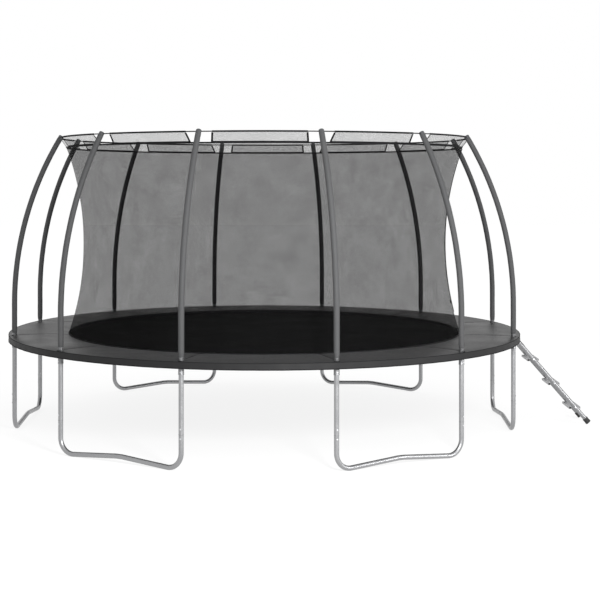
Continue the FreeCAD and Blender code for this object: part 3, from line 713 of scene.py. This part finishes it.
cap_centre, cap_out, cap_up = pole_frame(pole_length - 0.0168)
cap_frame = Matrix((cap_out, Vector((0, 1, 0)), cap_up)).transposed().to_4x4()
cap_profile = [(0.0215, 0.0), (0.0236, 0.0015), (0.0238, 0.004), (0.0238, 0.024), (0.0230, 0.0285),
               (0.0200, 0.0318), (0.0150, 0.0336), (0.0060, 0.0340)]
cap_part = moved(turned_profile(cap_profile, 28), Matrix.Translation(cap_centre) @ cap_frame)
caps = round_ring("moulded_pole_caps", cap_part, BAYS, HALF_BAY, cap_plastic)
dress(caps, None, "frame", "cap_plastic", "pole_caps")

# %% [markdown]
# ## Net
# Thin rods between the poles spread the top of the net. They are bent to the ring's own curve,
# so they are swept along an arc just as the rails are.

# %% Rods
rod_half = HALF_BAY - 0.004
rod_line = arc(rod_ring_radius, -rod_half, rod_half, rod_height, 20)
rods = bent_tubes("spreading_rods", rod_line, 0.0049, rod_coat, BAYS, sides=12)
dress(rods, None, "frame", "ring_rod", "top_ring_rods")

# %% [markdown]
# A trapezoid flap of lighter netting hangs from each rod in a sewn loop, and the flaps carry the
# top hem of the net. Each is held on all its sides and can only sag by millimetres, so it is a
# grid between two lines with a small sag, and every flap sags a little differently.

# %% Flaps
FLAP_GAP_TOP = math.radians(3.4)
FLAP_GAP_FOOT = math.radians(2.8)
hem_height = middle_height("net_top_hem")
hem_radius = 1.9249
LOOP_RADIUS = 0.0078


def flap_point(across, down, wobble=0.0):
    """Point of a flap: across from -1 to 1, down from 0 at the rod to 1 at the hem."""
    half = (HALF_BAY - FLAP_GAP_TOP) * (1 - down) + (HALF_BAY - FLAP_GAP_FOOT) * down
    radius = rod_ring_radius + (hem_radius - rod_ring_radius) * down
    height = rod_height - 0.008 + (hem_height - rod_height + 0.008) * down
    sag = 0.004 * math.sin(math.pi * down) * math.cos(across * 5.0 + wobble)
    return polar(radius - sag, half * across, height)


def flap_part(number):
    turn = Matrix.Rotation(BAY * number, 4, "Z")
    return cloth_grid(lambda down, share: turn @ flap_point(2 * share - 1, down, number * 1.7),
                      lambda down, share: ((2 * share - 1) * rod_ring_radius * HALF_BAY, down * 0.11),
                      6, 40, flipped=True)


for number in range(BAYS):
    flap = cloth_piece("net_flap_%02d" % (number + 1), [flap_part(number)])
    dress(flap, flap_yarn, "frame", "flap_cloth", *(["net_flaps"] if number == 0 else []))

# %% [markdown]
# Black binding edges the flaps, and tape closes each seam of the trampoline. Tape is a flat
# ribbon with a real thickness, which a bare strip of faces wouldn't have from the side. One helper
# lays a ribbon along any line, facing a given way, and every hem and binding uses it.

# %% Ribbons
def headings(line):
    """Direction of travel at each point of a line, and whether its ends meet."""
    closed = (line[0] - line[-1]).length < WELD
    ahead = [(line[min(i + 1, len(line) - 1)] - line[max(i - 1, 0)]).normalized() for i in range(len(line))]
    if closed:
        ahead[0] = ahead[-1] = (line[1] - line[-2]).normalized()
    return ahead, closed


def ribbon(line, facings, width, thickness):
    """Closed flat tape along a line; facings give the direction that its flat side looks in."""
    points, places = [], []
    travelled = 0.0
    ahead, closed = headings(line)
    for i, (point, face) in enumerate(zip(line, facings)):
        side = ahead[i].cross(face).normalized()
        out = face.normalized()
        travelled += (point - line[i - 1]).length if i else 0.0
        for across, off in ((-1, -1), (1, -1), (1, 1), (-1, 1)):
            points.append(point + side * (across * width / 2) + out * (off * thickness / 2))
            places.append((travelled, across * width / 2))
    return points, hoop_faces(len(line), 4, capped=not closed), places


def tape_piece(name, parts, material, slot, *nodes, body="frame"):
    piece = cloth_piece(name, parts)
    fix_normals(piece)
    return dress(piece, material, body, slot, *nodes)


def turned_parts(part, count):
    points, faces, places = part
    turns = [Matrix.Rotation(TURN * i / count, 4, "Z") for i in range(count)]
    return [([turn @ point for point in points], faces, places) for turn in turns]


def level_ring(radius, height, steps=240, facing=None):
    line = arc(radius, 0, TURN, height, steps)
    return line, [facing or Vector((p.x, p.y, 0)) for p in line]


flap_edge = []
for side in (-1, 1):
    line = [flap_point(side * (1 - 0.004), 0.02 + 0.96 * j / 8) for j in range(9)]
    flap_edge.append(ribbon(line, [Vector((1, 0, 0.3))] * 9, 0.017, 0.0022))
binding_parts = [part for edge in flap_edge for part in turned_parts(edge, BAYS)]
tape_piece("flap_binding", binding_parts, binding_cloth, "hem_webbing")

loop_half = HALF_BAY - FLAP_GAP_TOP
loop_line = arc(rod_ring_radius, -loop_half, loop_half, rod_height, 30)
loops = bent_tubes("flap_loops", loop_line, LOOP_RADIUS, binding_cloth, BAYS, sides=14)
dress(loops, None, "frame", "hem_webbing")
flap_foot = [flap_point(-0.99 + 1.98 * i / 40, 0.90) for i in range(41)]
flap_foot_tape = ribbon(flap_foot, [Vector((p.x, p.y, 0.6)) for p in flap_foot], 0.010, 0.0024)
tape_piece("flap_foot_tapes", turned_parts(flap_foot_tape, BAYS), binding_cloth, "hem_webbing")

# %% [markdown]
# The net itself is drawn in between its hems like a waist. Its profile is an arc from the top
# hem to the foot hem. A cloth simulation of so large a net would be slow and would hardly move
# it, because it is held tight. So Geometry Nodes rolls a flat grid round that profile and folds
# it on the way, and each fold is one line of the tree.

# %% Net
NET_ARC_CENTRE = (4.4018, 1.7487)
NET_ARC_RADIUS = 2.6406
net_low, net_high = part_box("enclosure_net")
NET_STEPS = 480
NET_DROPS = 90
net_height = net_high.z - net_low.z
NET_MAP_RADIUS = 1.82


def net_radius(height):
    return NET_ARC_CENTRE[0] - math.sqrt(NET_ARC_RADIUS ** 2 - (height - NET_ARC_CENTRE[1]) ** 2)


net = new_object("safety_net", [(0, 0, 0)])
pattern = Pattern("net_gore")
grid = pattern.node("GeometryNodeMeshGrid", Size_X=TURN, Size_Y=1.0, Vertices_X=NET_STEPS + 1,
                    Vertices_Y=NET_DROPS + 1)
flat_place = pattern.node("GeometryNodeInputPosition")
azimuth, share = pattern.part(flat_place, 0), pattern.part(flat_place, 1) + 0.5
net_size = pattern.ask("Net height", net_height)
height = share * net_size + net_low.z

# %% [markdown]
# The folds are sums of waves. The first is the slack between two poles, the next two are the
# diagonal pulls, and the last are the gathers at the hems, which fade within a few centimetres.

# %% Folds of the net
middle = (share * math.pi).wave()
slack = (azimuth * BAYS + math.pi / 2).wave() * pattern.ask("Slack", 0.004)
long_pulls = (azimuth * 36 + share * 5 + (azimuth * 3).wave() * 1.3).wave() * 0.0030
short_pulls = (azimuth * 84 - share * 9 + (azimuth * 5).wave() * 2).wave() * 0.0022
at_hems = share.fading(0.035) + (1 - share).fading(0.03)
gathers = (azimuth * 420).wave() * at_hems * pattern.ask("Gathers", 0.0014)
above_waist = height - NET_ARC_CENTRE[1]
drawn_in = (NET_ARC_RADIUS ** 2 - above_waist * above_waist).root()
radius = NET_ARC_CENTRE[0] - drawn_in + (slack + long_pulls + short_pulls) * middle + gathers

# %% [markdown]
# Before the grid is rolled up, its flat place in metres is stored as the cloth map, so that the
# knit runs evenly. The two edges that meet are then merged into a closed ring.

# %% Roll the net up
cloth_place = pattern.node("ShaderNodeCombineXYZ", X=azimuth * NET_MAP_RADIUS, Y=height)
mapped = pattern.node("GeometryNodeStoreNamedAttribute", {"data_type": "FLOAT2", "domain": "CORNER"},
                      Geometry=grid, Name="cloth", Value=cloth_place)
rolled_place = pattern.node("ShaderNodeCombineXYZ", X=radius * (azimuth + math.pi / 2).wave(),
                            Y=radius * azimuth.wave(), Z=height)
rolled = pattern.node("GeometryNodeSetPosition", Geometry=mapped, Position=rolled_place)
sewn = pattern.node("GeometryNodeMergeByDistance", Geometry=rolled, Distance=WELD)
pattern.close(sewn, net_yarn)
pattern.bake(net)
fix_normals(net)
dress(net, None, "frame", "net_mesh", "enclosure_net")

# %% [markdown]
# Flat webbing closes the net at both ends, held by two rows of stitches at the top and one at
# the foot. A stitch is a tiny raised dash, and Geometry Nodes lays thousands at an even pitch.

# %% Hems and stitches
hem_line, hem_faces = level_ring(hem_radius, hem_height)
top_hem = ribbon(hem_line, hem_faces, 0.0142, 0.0045)
tape_piece("net_top_hem_tape", [top_hem], webbing, "hem_webbing", "net_top_hem")
foot_hem_height = middle_height("net_foot_hem")
foot_hem_radius = 1.9010
foot_line, foot_faces = level_ring(foot_hem_radius, foot_hem_height)
foot_hem = ribbon(foot_line, foot_faces, 0.0236, 0.0040)
tape_piece("net_foot_hem_tape", [foot_hem], webbing, "hem_webbing", "net_foot_hem")


def stitches_along(name, line, pitch, size, material, body, slot):
    """Small raised dashes at an even pitch along a line, laid by Geometry Nodes."""
    piece = new_object(name, line, edges=[(i, i + 1) for i in range(len(line) - 1)])
    pattern = Pattern(name)
    path = pattern.node("GeometryNodeMeshToCurve", Mesh=pattern.shape)
    spots = pattern.node("GeometryNodeCurveToPoints", {"mode": "LENGTH"}, Curve=path,
                         Length=pattern.ask("Pitch", pitch))
    facing = Wire(pattern, spots.socket.node.outputs["Rotation"])
    half_thread = pattern.ask("Half thread", size / 4)
    dash = pattern.node("GeometryNodeMeshIcoSphere", Radius=half_thread, Subdivisions=1)
    long_dash = pattern.node("GeometryNodeTransform", Geometry=dash, Scale=(1.0, 1.0, 3.2))
    laid = pattern.node("GeometryNodeInstanceOnPoints", Points=spots, Instance=long_dash, Rotation=facing)
    pattern.close(pattern.node("GeometryNodeRealizeInstances", Geometry=laid), material)
    pattern.bake(piece)
    return dress(piece, None, body, slot)


for label, radius, height in (("top_hem_upper", hem_radius + 0.0027, hem_height + 0.0045),
                              ("top_hem_lower", hem_radius + 0.0027, hem_height - 0.0045),
                              ("foot_hem", foot_hem_radius + 0.0024, foot_hem_height + 0.007)):
    stitches_along("stitches_" + label, arc(radius, 0, TURN, height, 360), 0.009, 0.0016, thread,
                   "frame", "hem_webbing")

# %% [markdown]
# ## Mat and springs
# The mat is one disc of cloth, with a band of doubled webbing sewn round its edge. Ninety-six
# springs pull it nearly flat, so rings of points with a formula for the height are enough, and
# the faces close in the middle like a fan.

# %% Mat
SPRINGS = 96
MAT_RINGS = 60
MAT_STEPS = 192


def mat_height(radius, azimuth):
    """The cloth sinks a few millimetres in the middle and lifts a hair at each spring."""
    share = radius / mat_radius
    lift = 0.006 * math.cos(azimuth * SPRINGS) * max(0.0, share - 0.9)
    return mat_top - 0.0015 - 0.004 * (1 - share ** 2) + lift


def mat_grid():
    points = [Vector((0, 0, mat_height(0, 0)))]
    faces = []
    for ring in range(1, MAT_RINGS + 1):
        radius = (mat_radius - 0.002) * ring / MAT_RINGS
        for i in range(MAT_STEPS):
            azimuth = TURN * i / MAT_STEPS
            points.append(polar(radius, azimuth, mat_height(radius, azimuth)))
            if ring == 1:
                faces.append((0, 1 + i, 1 + (i + 1) % MAT_STEPS))
    for ring in range(MAT_RINGS - 1):
        for i in range(MAT_STEPS):
            a, b = 1 + ring * MAT_STEPS + i, 1 + ring * MAT_STEPS + (i + 1) % MAT_STEPS
            faces.append((a, a + MAT_STEPS, b + MAT_STEPS, b))
    return points, faces, [(p.x, p.y) for p in points]


mat = cloth_piece("woven_mat", [mat_grid()])
dress(mat, mat_cloth, "mat", "mat_cloth", "jumping_mat")

edge_ring = level_ring(mat_radius - 0.026, mat_top - 0.0016, 384, Vector((0, 0, 1)))
edge_band = ribbon(*edge_ring, 0.050, 0.0030)
tape_piece("mat_edge_webbing", [edge_band], webbing, "mat_cloth", body="mat")
for label, inset in (("inner", 0.048), ("middle", 0.030), ("outer", 0.007)):
    stitches_along("mat_stitches_" + label, arc(mat_radius - inset, 0, TURN, mat_top + 0.00005, 360),
                   0.010, 0.0014, thread, "mat", "mat_cloth")

# %% [markdown]
# Steel V-rings stand out of the webbing, one for each spring. A ring is bent wire, made once and
# copied round by the same tree as the tubes, with few sides because there are so many.

# %% V rings
FIRST_SPRING = math.radians(-13.125)
SPRING_STEP = math.radians(3.75)
spring_height = 0.8715
v_point = mat_radius + 0.001
v_ring_line = [Vector((v_point - 0.030, -0.012, spring_height)), Vector((v_point, 0.0, spring_height)),
               Vector((v_point - 0.030, 0.012, spring_height))]
v_rings = bent_tubes("mat_v_rings", v_ring_line, 0.0018, bright_zinc, SPRINGS, FIRST_SPRING,
                     bend=0.003, sides=6, steps=3)
dress(v_rings, None, "mat", "spring_steel")

# %% [markdown]
# A trampoline spring is close-wound wire with a hooked cone at each end. The Screw modifier could
# wind it, but not taper it, so its line is a helix in code whose radius falls away towards the two
# hooks. The springs stretch when the mat goes down, and each group of four neighbours is made as one
# object.

# %% Springs
SPRING_OUT = 2.4005
SPRING_IN = 2.1515
COIL_RADIUS = 0.0094
HOOK_RADIUS = 0.002
WIRE_RADIUS = 0.0015
COIL_TURNS = 30
TURN_POINTS = 8


def spring_line():
    """Centre line of one spring on the +X axis, from its outer hook to its inner one."""
    hook = 0.030
    coil_length = SPRING_OUT - SPRING_IN - hook
    count = COIL_TURNS * TURN_POINTS

    def on_axis(x, drop=0.0):
        return Vector((x, 0.0, spring_height - drop))

    line = [on_axis(SPRING_OUT, 0.004), on_axis(SPRING_OUT - 0.008)]
    for i in range(count + 1):
        share = i / count
        angle = TURN * COIL_TURNS * share
        taper = min(1.0, share / 0.06, (1 - share) / 0.06)
        radius = HOOK_RADIUS + (COIL_RADIUS - HOOK_RADIUS) * math.sin(taper * math.pi / 2)
        x = SPRING_OUT - hook / 2 - coil_length * share
        line.append(Vector((x, radius * math.sin(angle), spring_height + radius * math.cos(angle))))
    return line + [on_axis(SPRING_IN + 0.008), on_axis(SPRING_IN, 0.004)]


def swept(line, radius, sides=4):
    """Thin tube of a few sides along a line, for shapes repeated many times."""
    points = []
    side = Vector((0, 0, 1))
    ahead, closed = headings(line)
    rings = len(line) - closed
    for point, way in list(zip(line, ahead))[:rings]:
        side = (side - way * side.dot(way)).normalized()
        other = way.cross(side)
        for k in range(sides):
            angle = TURN * k / sides
            points.append(point + side * (radius * math.cos(angle)) + other * (radius * math.sin(angle)))
    return points, hoop_faces(rings, sides, closed)


one_spring = swept(spring_line(), WIRE_RADIUS)
SPRINGS_PER_GROUP = 4
for group in range(SPRINGS // SPRINGS_PER_GROUP):
    first = group * SPRINGS_PER_GROUP
    azimuths = [FIRST_SPRING + SPRING_STEP * (first + k) for k in range(SPRINGS_PER_GROUP)]
    middle = sum(azimuths) / SPRINGS_PER_GROUP
    parts = [moved(one_spring, Matrix.Rotation(azimuth, 4, "Z")) for azimuth in azimuths]
    springs = new_object("coil_springs_%02d" % (group + 1), *joined(parts))
    springs.data.materials.append(spring_wire)
    smooth(springs)
    if group == 0:
        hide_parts("springs")
    polar(SPRING_OUT, middle, spring_height)
    polar(SPRING_IN, middle, spring_height)
    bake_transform(springs)
print(SPRINGS, "springs of", len(one_spring[1]), "faces")

# %% [markdown]
# ## Safety pad
# Twelve foam panels covered in vinyl hide the springs. A panel is fullest in its middle and is
# pinched by a seam where it meets the next. The foam is thin and stiff, so there is little for a
# cloth simulation to do: the height is a formula that falls away at the seams and at both rims,
# with light puckers close to the seams.

# %% Pad
PAD_INNER = 1.905
PAD_OUTER = 2.4717
PAD_INNER_TOP = 0.8880
PAD_OUTER_TOP = 0.8930
PAD_CROWN = 0.0148
PAD_MAP_RADIUS = 2.19
pad_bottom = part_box("safety_pad")[0].z
PAD_STEPS_PER_BAY = 48
PAD_ROWS = 26


def pad_underside(radius):
    lift = min(1.0, max(0.0, (radius - 2.118) / 0.054))
    return pad_bottom + (0.8852 - pad_bottom) * lift


def pad_top(radius, azimuth):
    """Height of the vinyl: crowned across, pinched at the seams, puckered near them."""
    share = (radius - PAD_INNER) / (PAD_OUTER - PAD_INNER)
    rim = PAD_INNER_TOP + (PAD_OUTER_TOP - PAD_INNER_TOP) * share
    crown = PAD_CROWN * (1 - abs(2 * share - 1) ** 4)
    from_seam = abs(math.remainder(azimuth - HALF_BAY, BAY)) * radius
    pinch = math.exp(-(from_seam / 0.012) ** 2) * 0.0062 + math.exp(-(from_seam / 0.06) ** 2) * 0.0030
    panel = math.floor(azimuth / BAY + 0.5)
    pucker = 0.0011 * math.sin(radius * 88 + 1.3 * panel) * math.exp(-from_seam / 0.05)
    slow = 0.0009 * math.sin(radius * 17 + azimuth * 9) * math.sin(azimuth * 31 + radius * 5)
    return rim + (crown - pinch * (0.4 + 0.6 * crown / PAD_CROWN) + pucker + slow) * min(1.0, crown / 0.004)


def pad_panel_part(number):
    """Closed shell of one panel, from seam to seam."""
    radii = [PAD_INNER + (PAD_OUTER - PAD_INNER) * (0.5 - 0.5 * math.cos(math.pi * k / PAD_ROWS))
             for k in range(PAD_ROWS + 1)]
    points, places = [], []
    for i in range(PAD_STEPS_PER_BAY + 1):
        azimuth = -HALF_BAY + BAY * number + BAY * i / PAD_STEPS_PER_BAY
        for radius in radii:
            points.append(polar(radius, azimuth, pad_top(radius, azimuth)))
        for radius in reversed(radii):
            inset = min(max(radius, PAD_INNER + 0.002), PAD_OUTER - 0.005)
            points.append(polar(inset, azimuth, pad_underside(inset)))
        places += [(azimuth * PAD_MAP_RADIUS, radius) for radius in radii + radii[::-1]]
    return points, hoop_faces(PAD_STEPS_PER_BAY + 1, 2 * len(radii)), places


for number in range(BAYS):
    panel = cloth_piece("pad_panel_%02d" % (number + 1), [pad_panel_part(number)])
    fix_normals(panel)
    dress(panel, vinyl, "frame", "pad_vinyl", *(["safety_pad"] if number == 0 else []), angle=60)

# %% [markdown]
# A seam tape covers each joint between panels, and piping runs round both rims. The skirt is
# sewn on at the outer one. The tape takes the pad's height at the first seam and the other
# eleven are turned copies of it, so these lie up to 3.5 mm above or below the vinyl in places.

# %% Pad seams and piping
seam_radii = [PAD_INNER + 0.003 + (PAD_OUTER - PAD_INNER - 0.006) * k / 30 for k in range(31)]
seam_line = [polar(radius, HALF_BAY, pad_top(radius, HALF_BAY) + 0.0006) for radius in seam_radii]
pad_seam = ribbon(seam_line, [Vector((0, 0, 1))] * 31, 0.010, 0.0014)
tape_piece("pad_seam_tapes", turned_parts(pad_seam, BAYS), binding_cloth, "pad_vinyl")
for name, radius, height, cord in (("pad_piping", PAD_OUTER - 0.0005, PAD_OUTER_TOP + 0.0005, 0.0030),
                                   ("pad_inner_piping", PAD_INNER + 0.0015, PAD_INNER_TOP + 0.0004, 0.0024)):
    piping = new_object(name, *swept(arc(radius, 0, TURN, height, 360), cord, 8))
    dress(piping, binding_cloth, "frame", "pad_vinyl")

# %% [markdown]
# Each pole comes up through a hole in the pad, edged with a rolled collar. The hole itself is
# out of sight under the sleeve, so a small ring round the pole is all that is made.

# %% Pole collars
collar_height = pad_top(ring_radius, HALF_BAY) + 0.0015
collar_line = [Vector((ring_radius, 0, 0)) + point for point in arc(0.0265, 0, TURN, collar_height, 32)]
collars = round_ring("pole_hole_collars", swept(collar_line, 0.0026, 8), BAYS, HALF_BAY, binding_cloth)
dress(collars, None, "frame", "pad_vinyl")

# %% [markdown]
# The skirt hangs from the rim and hides the rail. It is thin vinyl with shallow waves and a
# bound lower edge. The bay over the ladder gives way when the ladder swings up, so it is a piece
# of its own.

# %% Skirt
SKIRT_RADIUS = 2.4734
skirt_low, skirt_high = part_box("skirt_at_ladder")
skirt_top = skirt_high.z - 0.0005
skirt_depth = skirt_high.z - skirt_low.z - 0.001


def skirt_point(azimuth, drop):
    wave = 0.0013 * math.sin(azimuth * 97 + 2 * math.sin(azimuth * 7)) + 0.0009 * math.sin(azimuth * 41)
    return polar(SKIRT_RADIUS + wave * drop, azimuth, skirt_top - skirt_depth * drop)


def skirt_part(number):
    first = -HALF_BAY + BAY * number
    return cloth_grid(lambda drop, share: skirt_point(first + BAY * share, drop),
                      lambda drop, share: ((first + BAY * share) * SKIRT_RADIUS, 0.0565 * drop),
                      6, 60, flipped=True)


def skirt_binding(number):
    first = -HALF_BAY + BAY * number
    line = [skirt_point(first + BAY * i / 60, 0.93) for i in range(61)]
    return ribbon(line, [Vector((p.x, p.y, 0)) for p in line], 0.0075, 0.0022)


def hang_skirt(name, bays, node):
    """Skirt over some bays, made as one cloth piece."""
    piece = cloth_piece(name, [skirt_part(number) for number in bays])
    dress(piece, skirt_vinyl, "frame", "skirt_cloth", node)
    return piece


other_bays = range(1, BAYS)
hang_skirt("skirt_round", other_bays, "pad_skirt")
tape_piece("skirt_binding_round", [skirt_binding(number) for number in other_bays], binding_cloth,
           "skirt_cloth")
ladder_skirt = hang_skirt("skirt_bay_at_ladder", [0], "skirt_at_ladder")
ladder_binding = tape_piece("skirt_binding_at_ladder", [skirt_binding(0)], binding_cloth, "skirt_cloth")
for piece in (ladder_skirt, ladder_binding):
    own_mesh(piece)

# %% [markdown]
# ## Door zip
# The door is closed by a zip on a strip of black tape that follows the net's curve. Its teeth
# repeat every few millimetres, so Geometry Nodes lays them, and the slider with its pull rides
# on a body of its own, because it runs up and down the tape.

# %% Zip tape and teeth
ZIP_AZIMUTH = math.radians(-7.5)
zip_low, zip_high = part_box("door_zip")
ZIP_STEPS = 60
zip_out = polar(1, ZIP_AZIMUTH, 0)


def zip_line(offset):
    line = []
    for j in range(ZIP_STEPS + 1):
        height = zip_low.z + 0.003 + (zip_high.z - zip_low.z - 0.006) * j / ZIP_STEPS
        line.append(polar(net_radius(height) + offset, ZIP_AZIMUTH, height))
    return line


zip_tape = ribbon(zip_line(0.0040), [zip_out] * (ZIP_STEPS + 1), 0.028, 0.0016)
tape_piece("zip_tape", [zip_tape], webbing, "zip_tape", "door_zip")
stitches_along("zip_teeth", zip_line(0.0053), 0.0042, 0.0052, slider_metal, "frame", "zip_tape")

EDGE_CORD = 0.0032
zip_sideways = Vector((-math.sin(ZIP_AZIMUTH), math.cos(ZIP_AZIMUTH), 0))
edge_parts = [swept([point + zip_sideways * (side * 0.0118) for point in zip_line(0.0045)], EDGE_CORD, 8)
              for side in (-1, 1)]
zip_edges = new_object("zip_bound_edges", *joined(edge_parts))
dress(zip_edges, binding_cloth, "frame", "zip_tape")

# %% [markdown]
# The slider is a small metal block with its pull tab below. The frame's own meshes are copied,
# their doubled corners merged and flats dissolved, and every edge is rounded by a bevel. The
# frame's net is made of flats and this one is round, so the slider, which keeps the frame's
# place, lies about 4 mm behind the tape, and only its tab comes through.

# %% Zip slider
def rounded_copy(name, node, width):
    """Copy of a frame mesh with its edges rounded off."""
    piece = new_object(name, [(0, 0, 0)])
    piece.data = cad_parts[node].data.copy()

    def round_off(work):
        bmesh.ops.remove_doubles(work, verts=work.verts, dist=WELD)
        bmesh.ops.dissolve_limit(work, angle_limit=math.radians(1), verts=work.verts, edges=work.edges)
        bmesh.ops.bevel(work, geom=work.edges[:], offset=width, segments=2, profile=0.5, affect="EDGES")

    return rework(piece, round_off)


for node, width in (("zip_slider", 0.0012), ("zip_pull", 0.0007)):
    dress(rounded_copy(node + "_rounded", node, width), slider_metal, "zip_slider", "zip_metal", node)

# %% [markdown]
# ## Ladder
# The ladder hooks over the rail and leans out to the ground. Its place is given along the slope,
# so a tread or a bolt is a distance down the tube. The side tubes are swept round and smooth. The
# frame's own meshes of the hooks, treads and stops are good as they are and only change their
# material.

# %% Ladder tubes
LADDER_ANGLE = math.radians(49)
ladder_down = Vector((math.cos(LADDER_ANGLE), 0, -math.sin(LADDER_ANGLE)))
ladder_up = Vector((math.sin(LADDER_ANGLE), 0, math.cos(LADDER_ANGLE)))
HOOK_AXIS = Vector((2.41245, 0, 0.860))
ladder_top = HOOK_AXIS - ladder_up * 0.005
LADDER_HALF = 0.175
LADDER_LENGTH = 1.1127
SIDES = {"left": 1, "right": -1}


def ladder_point(side, distance):
    return ladder_top + ladder_down * distance + Vector((0, side * LADDER_HALF, 0))


for name, side in SIDES.items():
    ends = [ladder_point(side, 0.024), ladder_point(side, LADDER_LENGTH - 0.0125)]
    tube = bent_tubes("ladder_tube_" + name, ends, tube_radius - 0.0004, tube_satin, 1, sides=28)
    dress(tube, None, "ladder", "ladder_tube", "ladder_side_" + name)

kept_nodes = {"ladder_hook_left": cast_zinc, "ladder_hook_right": cast_zinc, "ladder_tread_1": tread_zinc,
              "ladder_tread_2": tread_zinc, "ladder_tread_3": tread_zinc, "ladder_stops": rubber}
for node, material in kept_nodes.items():
    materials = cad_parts[node].data.materials
    materials.clear()
    materials.append(material)

# %% [markdown]
# Three flat treads are bolted between the tubes. Each has ridges pressed into it for grip, laid
# here as thin rods half sunk into its top, and a bolt head at each end.

# %% Tread ribs and bolts
TREAD_PITCH = 0.306
RIB_INSET = 0.018
RIB_END = 0.012
tread_parts, bolt_parts = [], []
for number in (1, 2, 3):
    low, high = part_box("ladder_tread_%d" % number)
    for k in range(5):
        x = low.x + RIB_INSET + (high.x - low.x - 2 * RIB_INSET) * k / 4
        line = [Vector((x, y, high.z + 0.0002)) for y in (low.y + RIB_END, high.y - RIB_END)]
        tread_parts.append(swept(line, 0.0018, 6))
    for side in (-1, 1):
        spot = ladder_point(side, TREAD_PITCH * number) + Vector((0.0, side * (tube_radius - 0.001), 0.0))
        bolt_parts.append(stood(screw_head(0.0065, 0.0055), spot, -side * math.pi / 2))
ribs = new_object("tread_grip_ribs", *joined(tread_parts))
dress(ribs, tread_zinc, "ladder", "tread_sheet")
bolts = new_object("ladder_bolts", *joined(bolt_parts))
dress(bolts, bright_zinc, "ladder", "tread_sheet")

# %% [markdown]
# A rubber boot closes each tube where it stands on the ground. It is a turned profile with a
# thicker heel, tipped to the ladder's slope.

# %% Ladder boots
BOOT_DEPTH = 0.0522
boot_profile = [(0.0230, 0.0), (0.0268, 0.0008), (0.0262, 0.006), (0.0256, 0.030), (0.0270, 0.040),
                (0.0277, 0.0485), (0.0262, 0.0518), (0.0180, BOOT_DEPTH)]
boot_frame = Matrix((ladder_up, Vector((0, 1, 0)), ladder_down)).transposed().to_4x4()
boot = moved(turned_profile(boot_profile, 28), boot_frame)
boot_parts = [stood(boot, ladder_point(side, LADDER_LENGTH - BOOT_DEPTH)) for side in (-1, 1)]
boots = new_object("rubber_boots", *joined(boot_parts))
fix_normals(boots)
dress(boots, rubber, "ladder", "black_rubber", "ladder_boots")

# %% [markdown]
# ## Studio
# A plain white floor and a bright, even room, as in a catalogue. The floor gives off light of its
# own, so that it stays nearly white under the trampoline too. A lamp in front lights the near poles more than
# the far ones, and one on the right draws the highlights on the tubes.

# %% Floor and light
floor = new_object("studio_floor", [(-60, -60, 0), (60, -60, 0), (60, 60, 0), (-60, 60, 0)], [(0, 1, 2, 3)])
floor_finish = Finish("studio_floor", (0.15, 0.15, 0.15), 0.9, Specular_IOR_Level=0.0,
                      Emission_Color=(1, 1, 1, 1), Emission_Strength=0.86)
floor_tone = floor_finish.mix(floor_finish.noise(0.2), (0.14, 0.14, 0.14), (0.16, 0.16, 0.16))
floor_finish.set("Base Color", floor_tone)
floor.data.materials.append(floor_finish.material)
print("floor finish:", floor_finish.material.name)

world = bpy.data.worlds.new("bright_room")
world.use_nodes = True
world.node_tree.nodes["Background"].inputs["Color"].default_value = (1, 1, 1, 1)
world.node_tree.nodes["Background"].inputs["Strength"].default_value = 1.0
bpy.context.scene.world = world


def area_lamp(name, place, target, size, power):
    data = bpy.data.lights.new(name, "AREA")
    data.shape = "DISK"
    data.size = size
    data.energy = power
    lamp = bpy.data.objects.new(name, data)
    bpy.context.scene.collection.objects.link(lamp)
    lamp.location = place
    lamp.rotation_euler = (Vector(target) - Vector(place)).to_track_quat("-Z", "Y").to_euler()
    return lamp


area_lamp("front_lamp", (1.8, -7.0, 3.0), (0.2, -2.3, 1.3), 1.2, 520)
area_lamp("right_lamp", (7.5, -4.5, 2.0), (0, -1.5, 1), 2.0, 180)

# %% [markdown]
# The camera stands far back with a long lens, level, and near the height of the net's top third.
# A lens shift moves the trampoline to its place in the picture without tilting the camera.

# %% Camera
CAMERA_DISTANCE = 12.798
CAMERA_TURN = math.radians(1.09)
CAMERA_HEIGHT = 2.3238
camera_data = bpy.data.cameras.new("catalogue_camera")
camera_data.sensor_width = 36
camera_data.lens = 77.918
camera_data.shift_x = 0.05947
camera_data.shift_y = -0.19365
camera = bpy.data.objects.new("catalogue_camera", camera_data)
bpy.context.scene.collection.objects.link(camera)
camera.location = polar(CAMERA_DISTANCE, CAMERA_TURN - math.pi / 2, CAMERA_HEIGHT)
camera.rotation_euler = (math.pi / 2, 0, CAMERA_TURN)
bpy.context.scene.camera = camera
bpy.context.scene.view_settings.view_transform = "Standard"
print("camera at", tuple(round(value, 3) for value in camera.location))
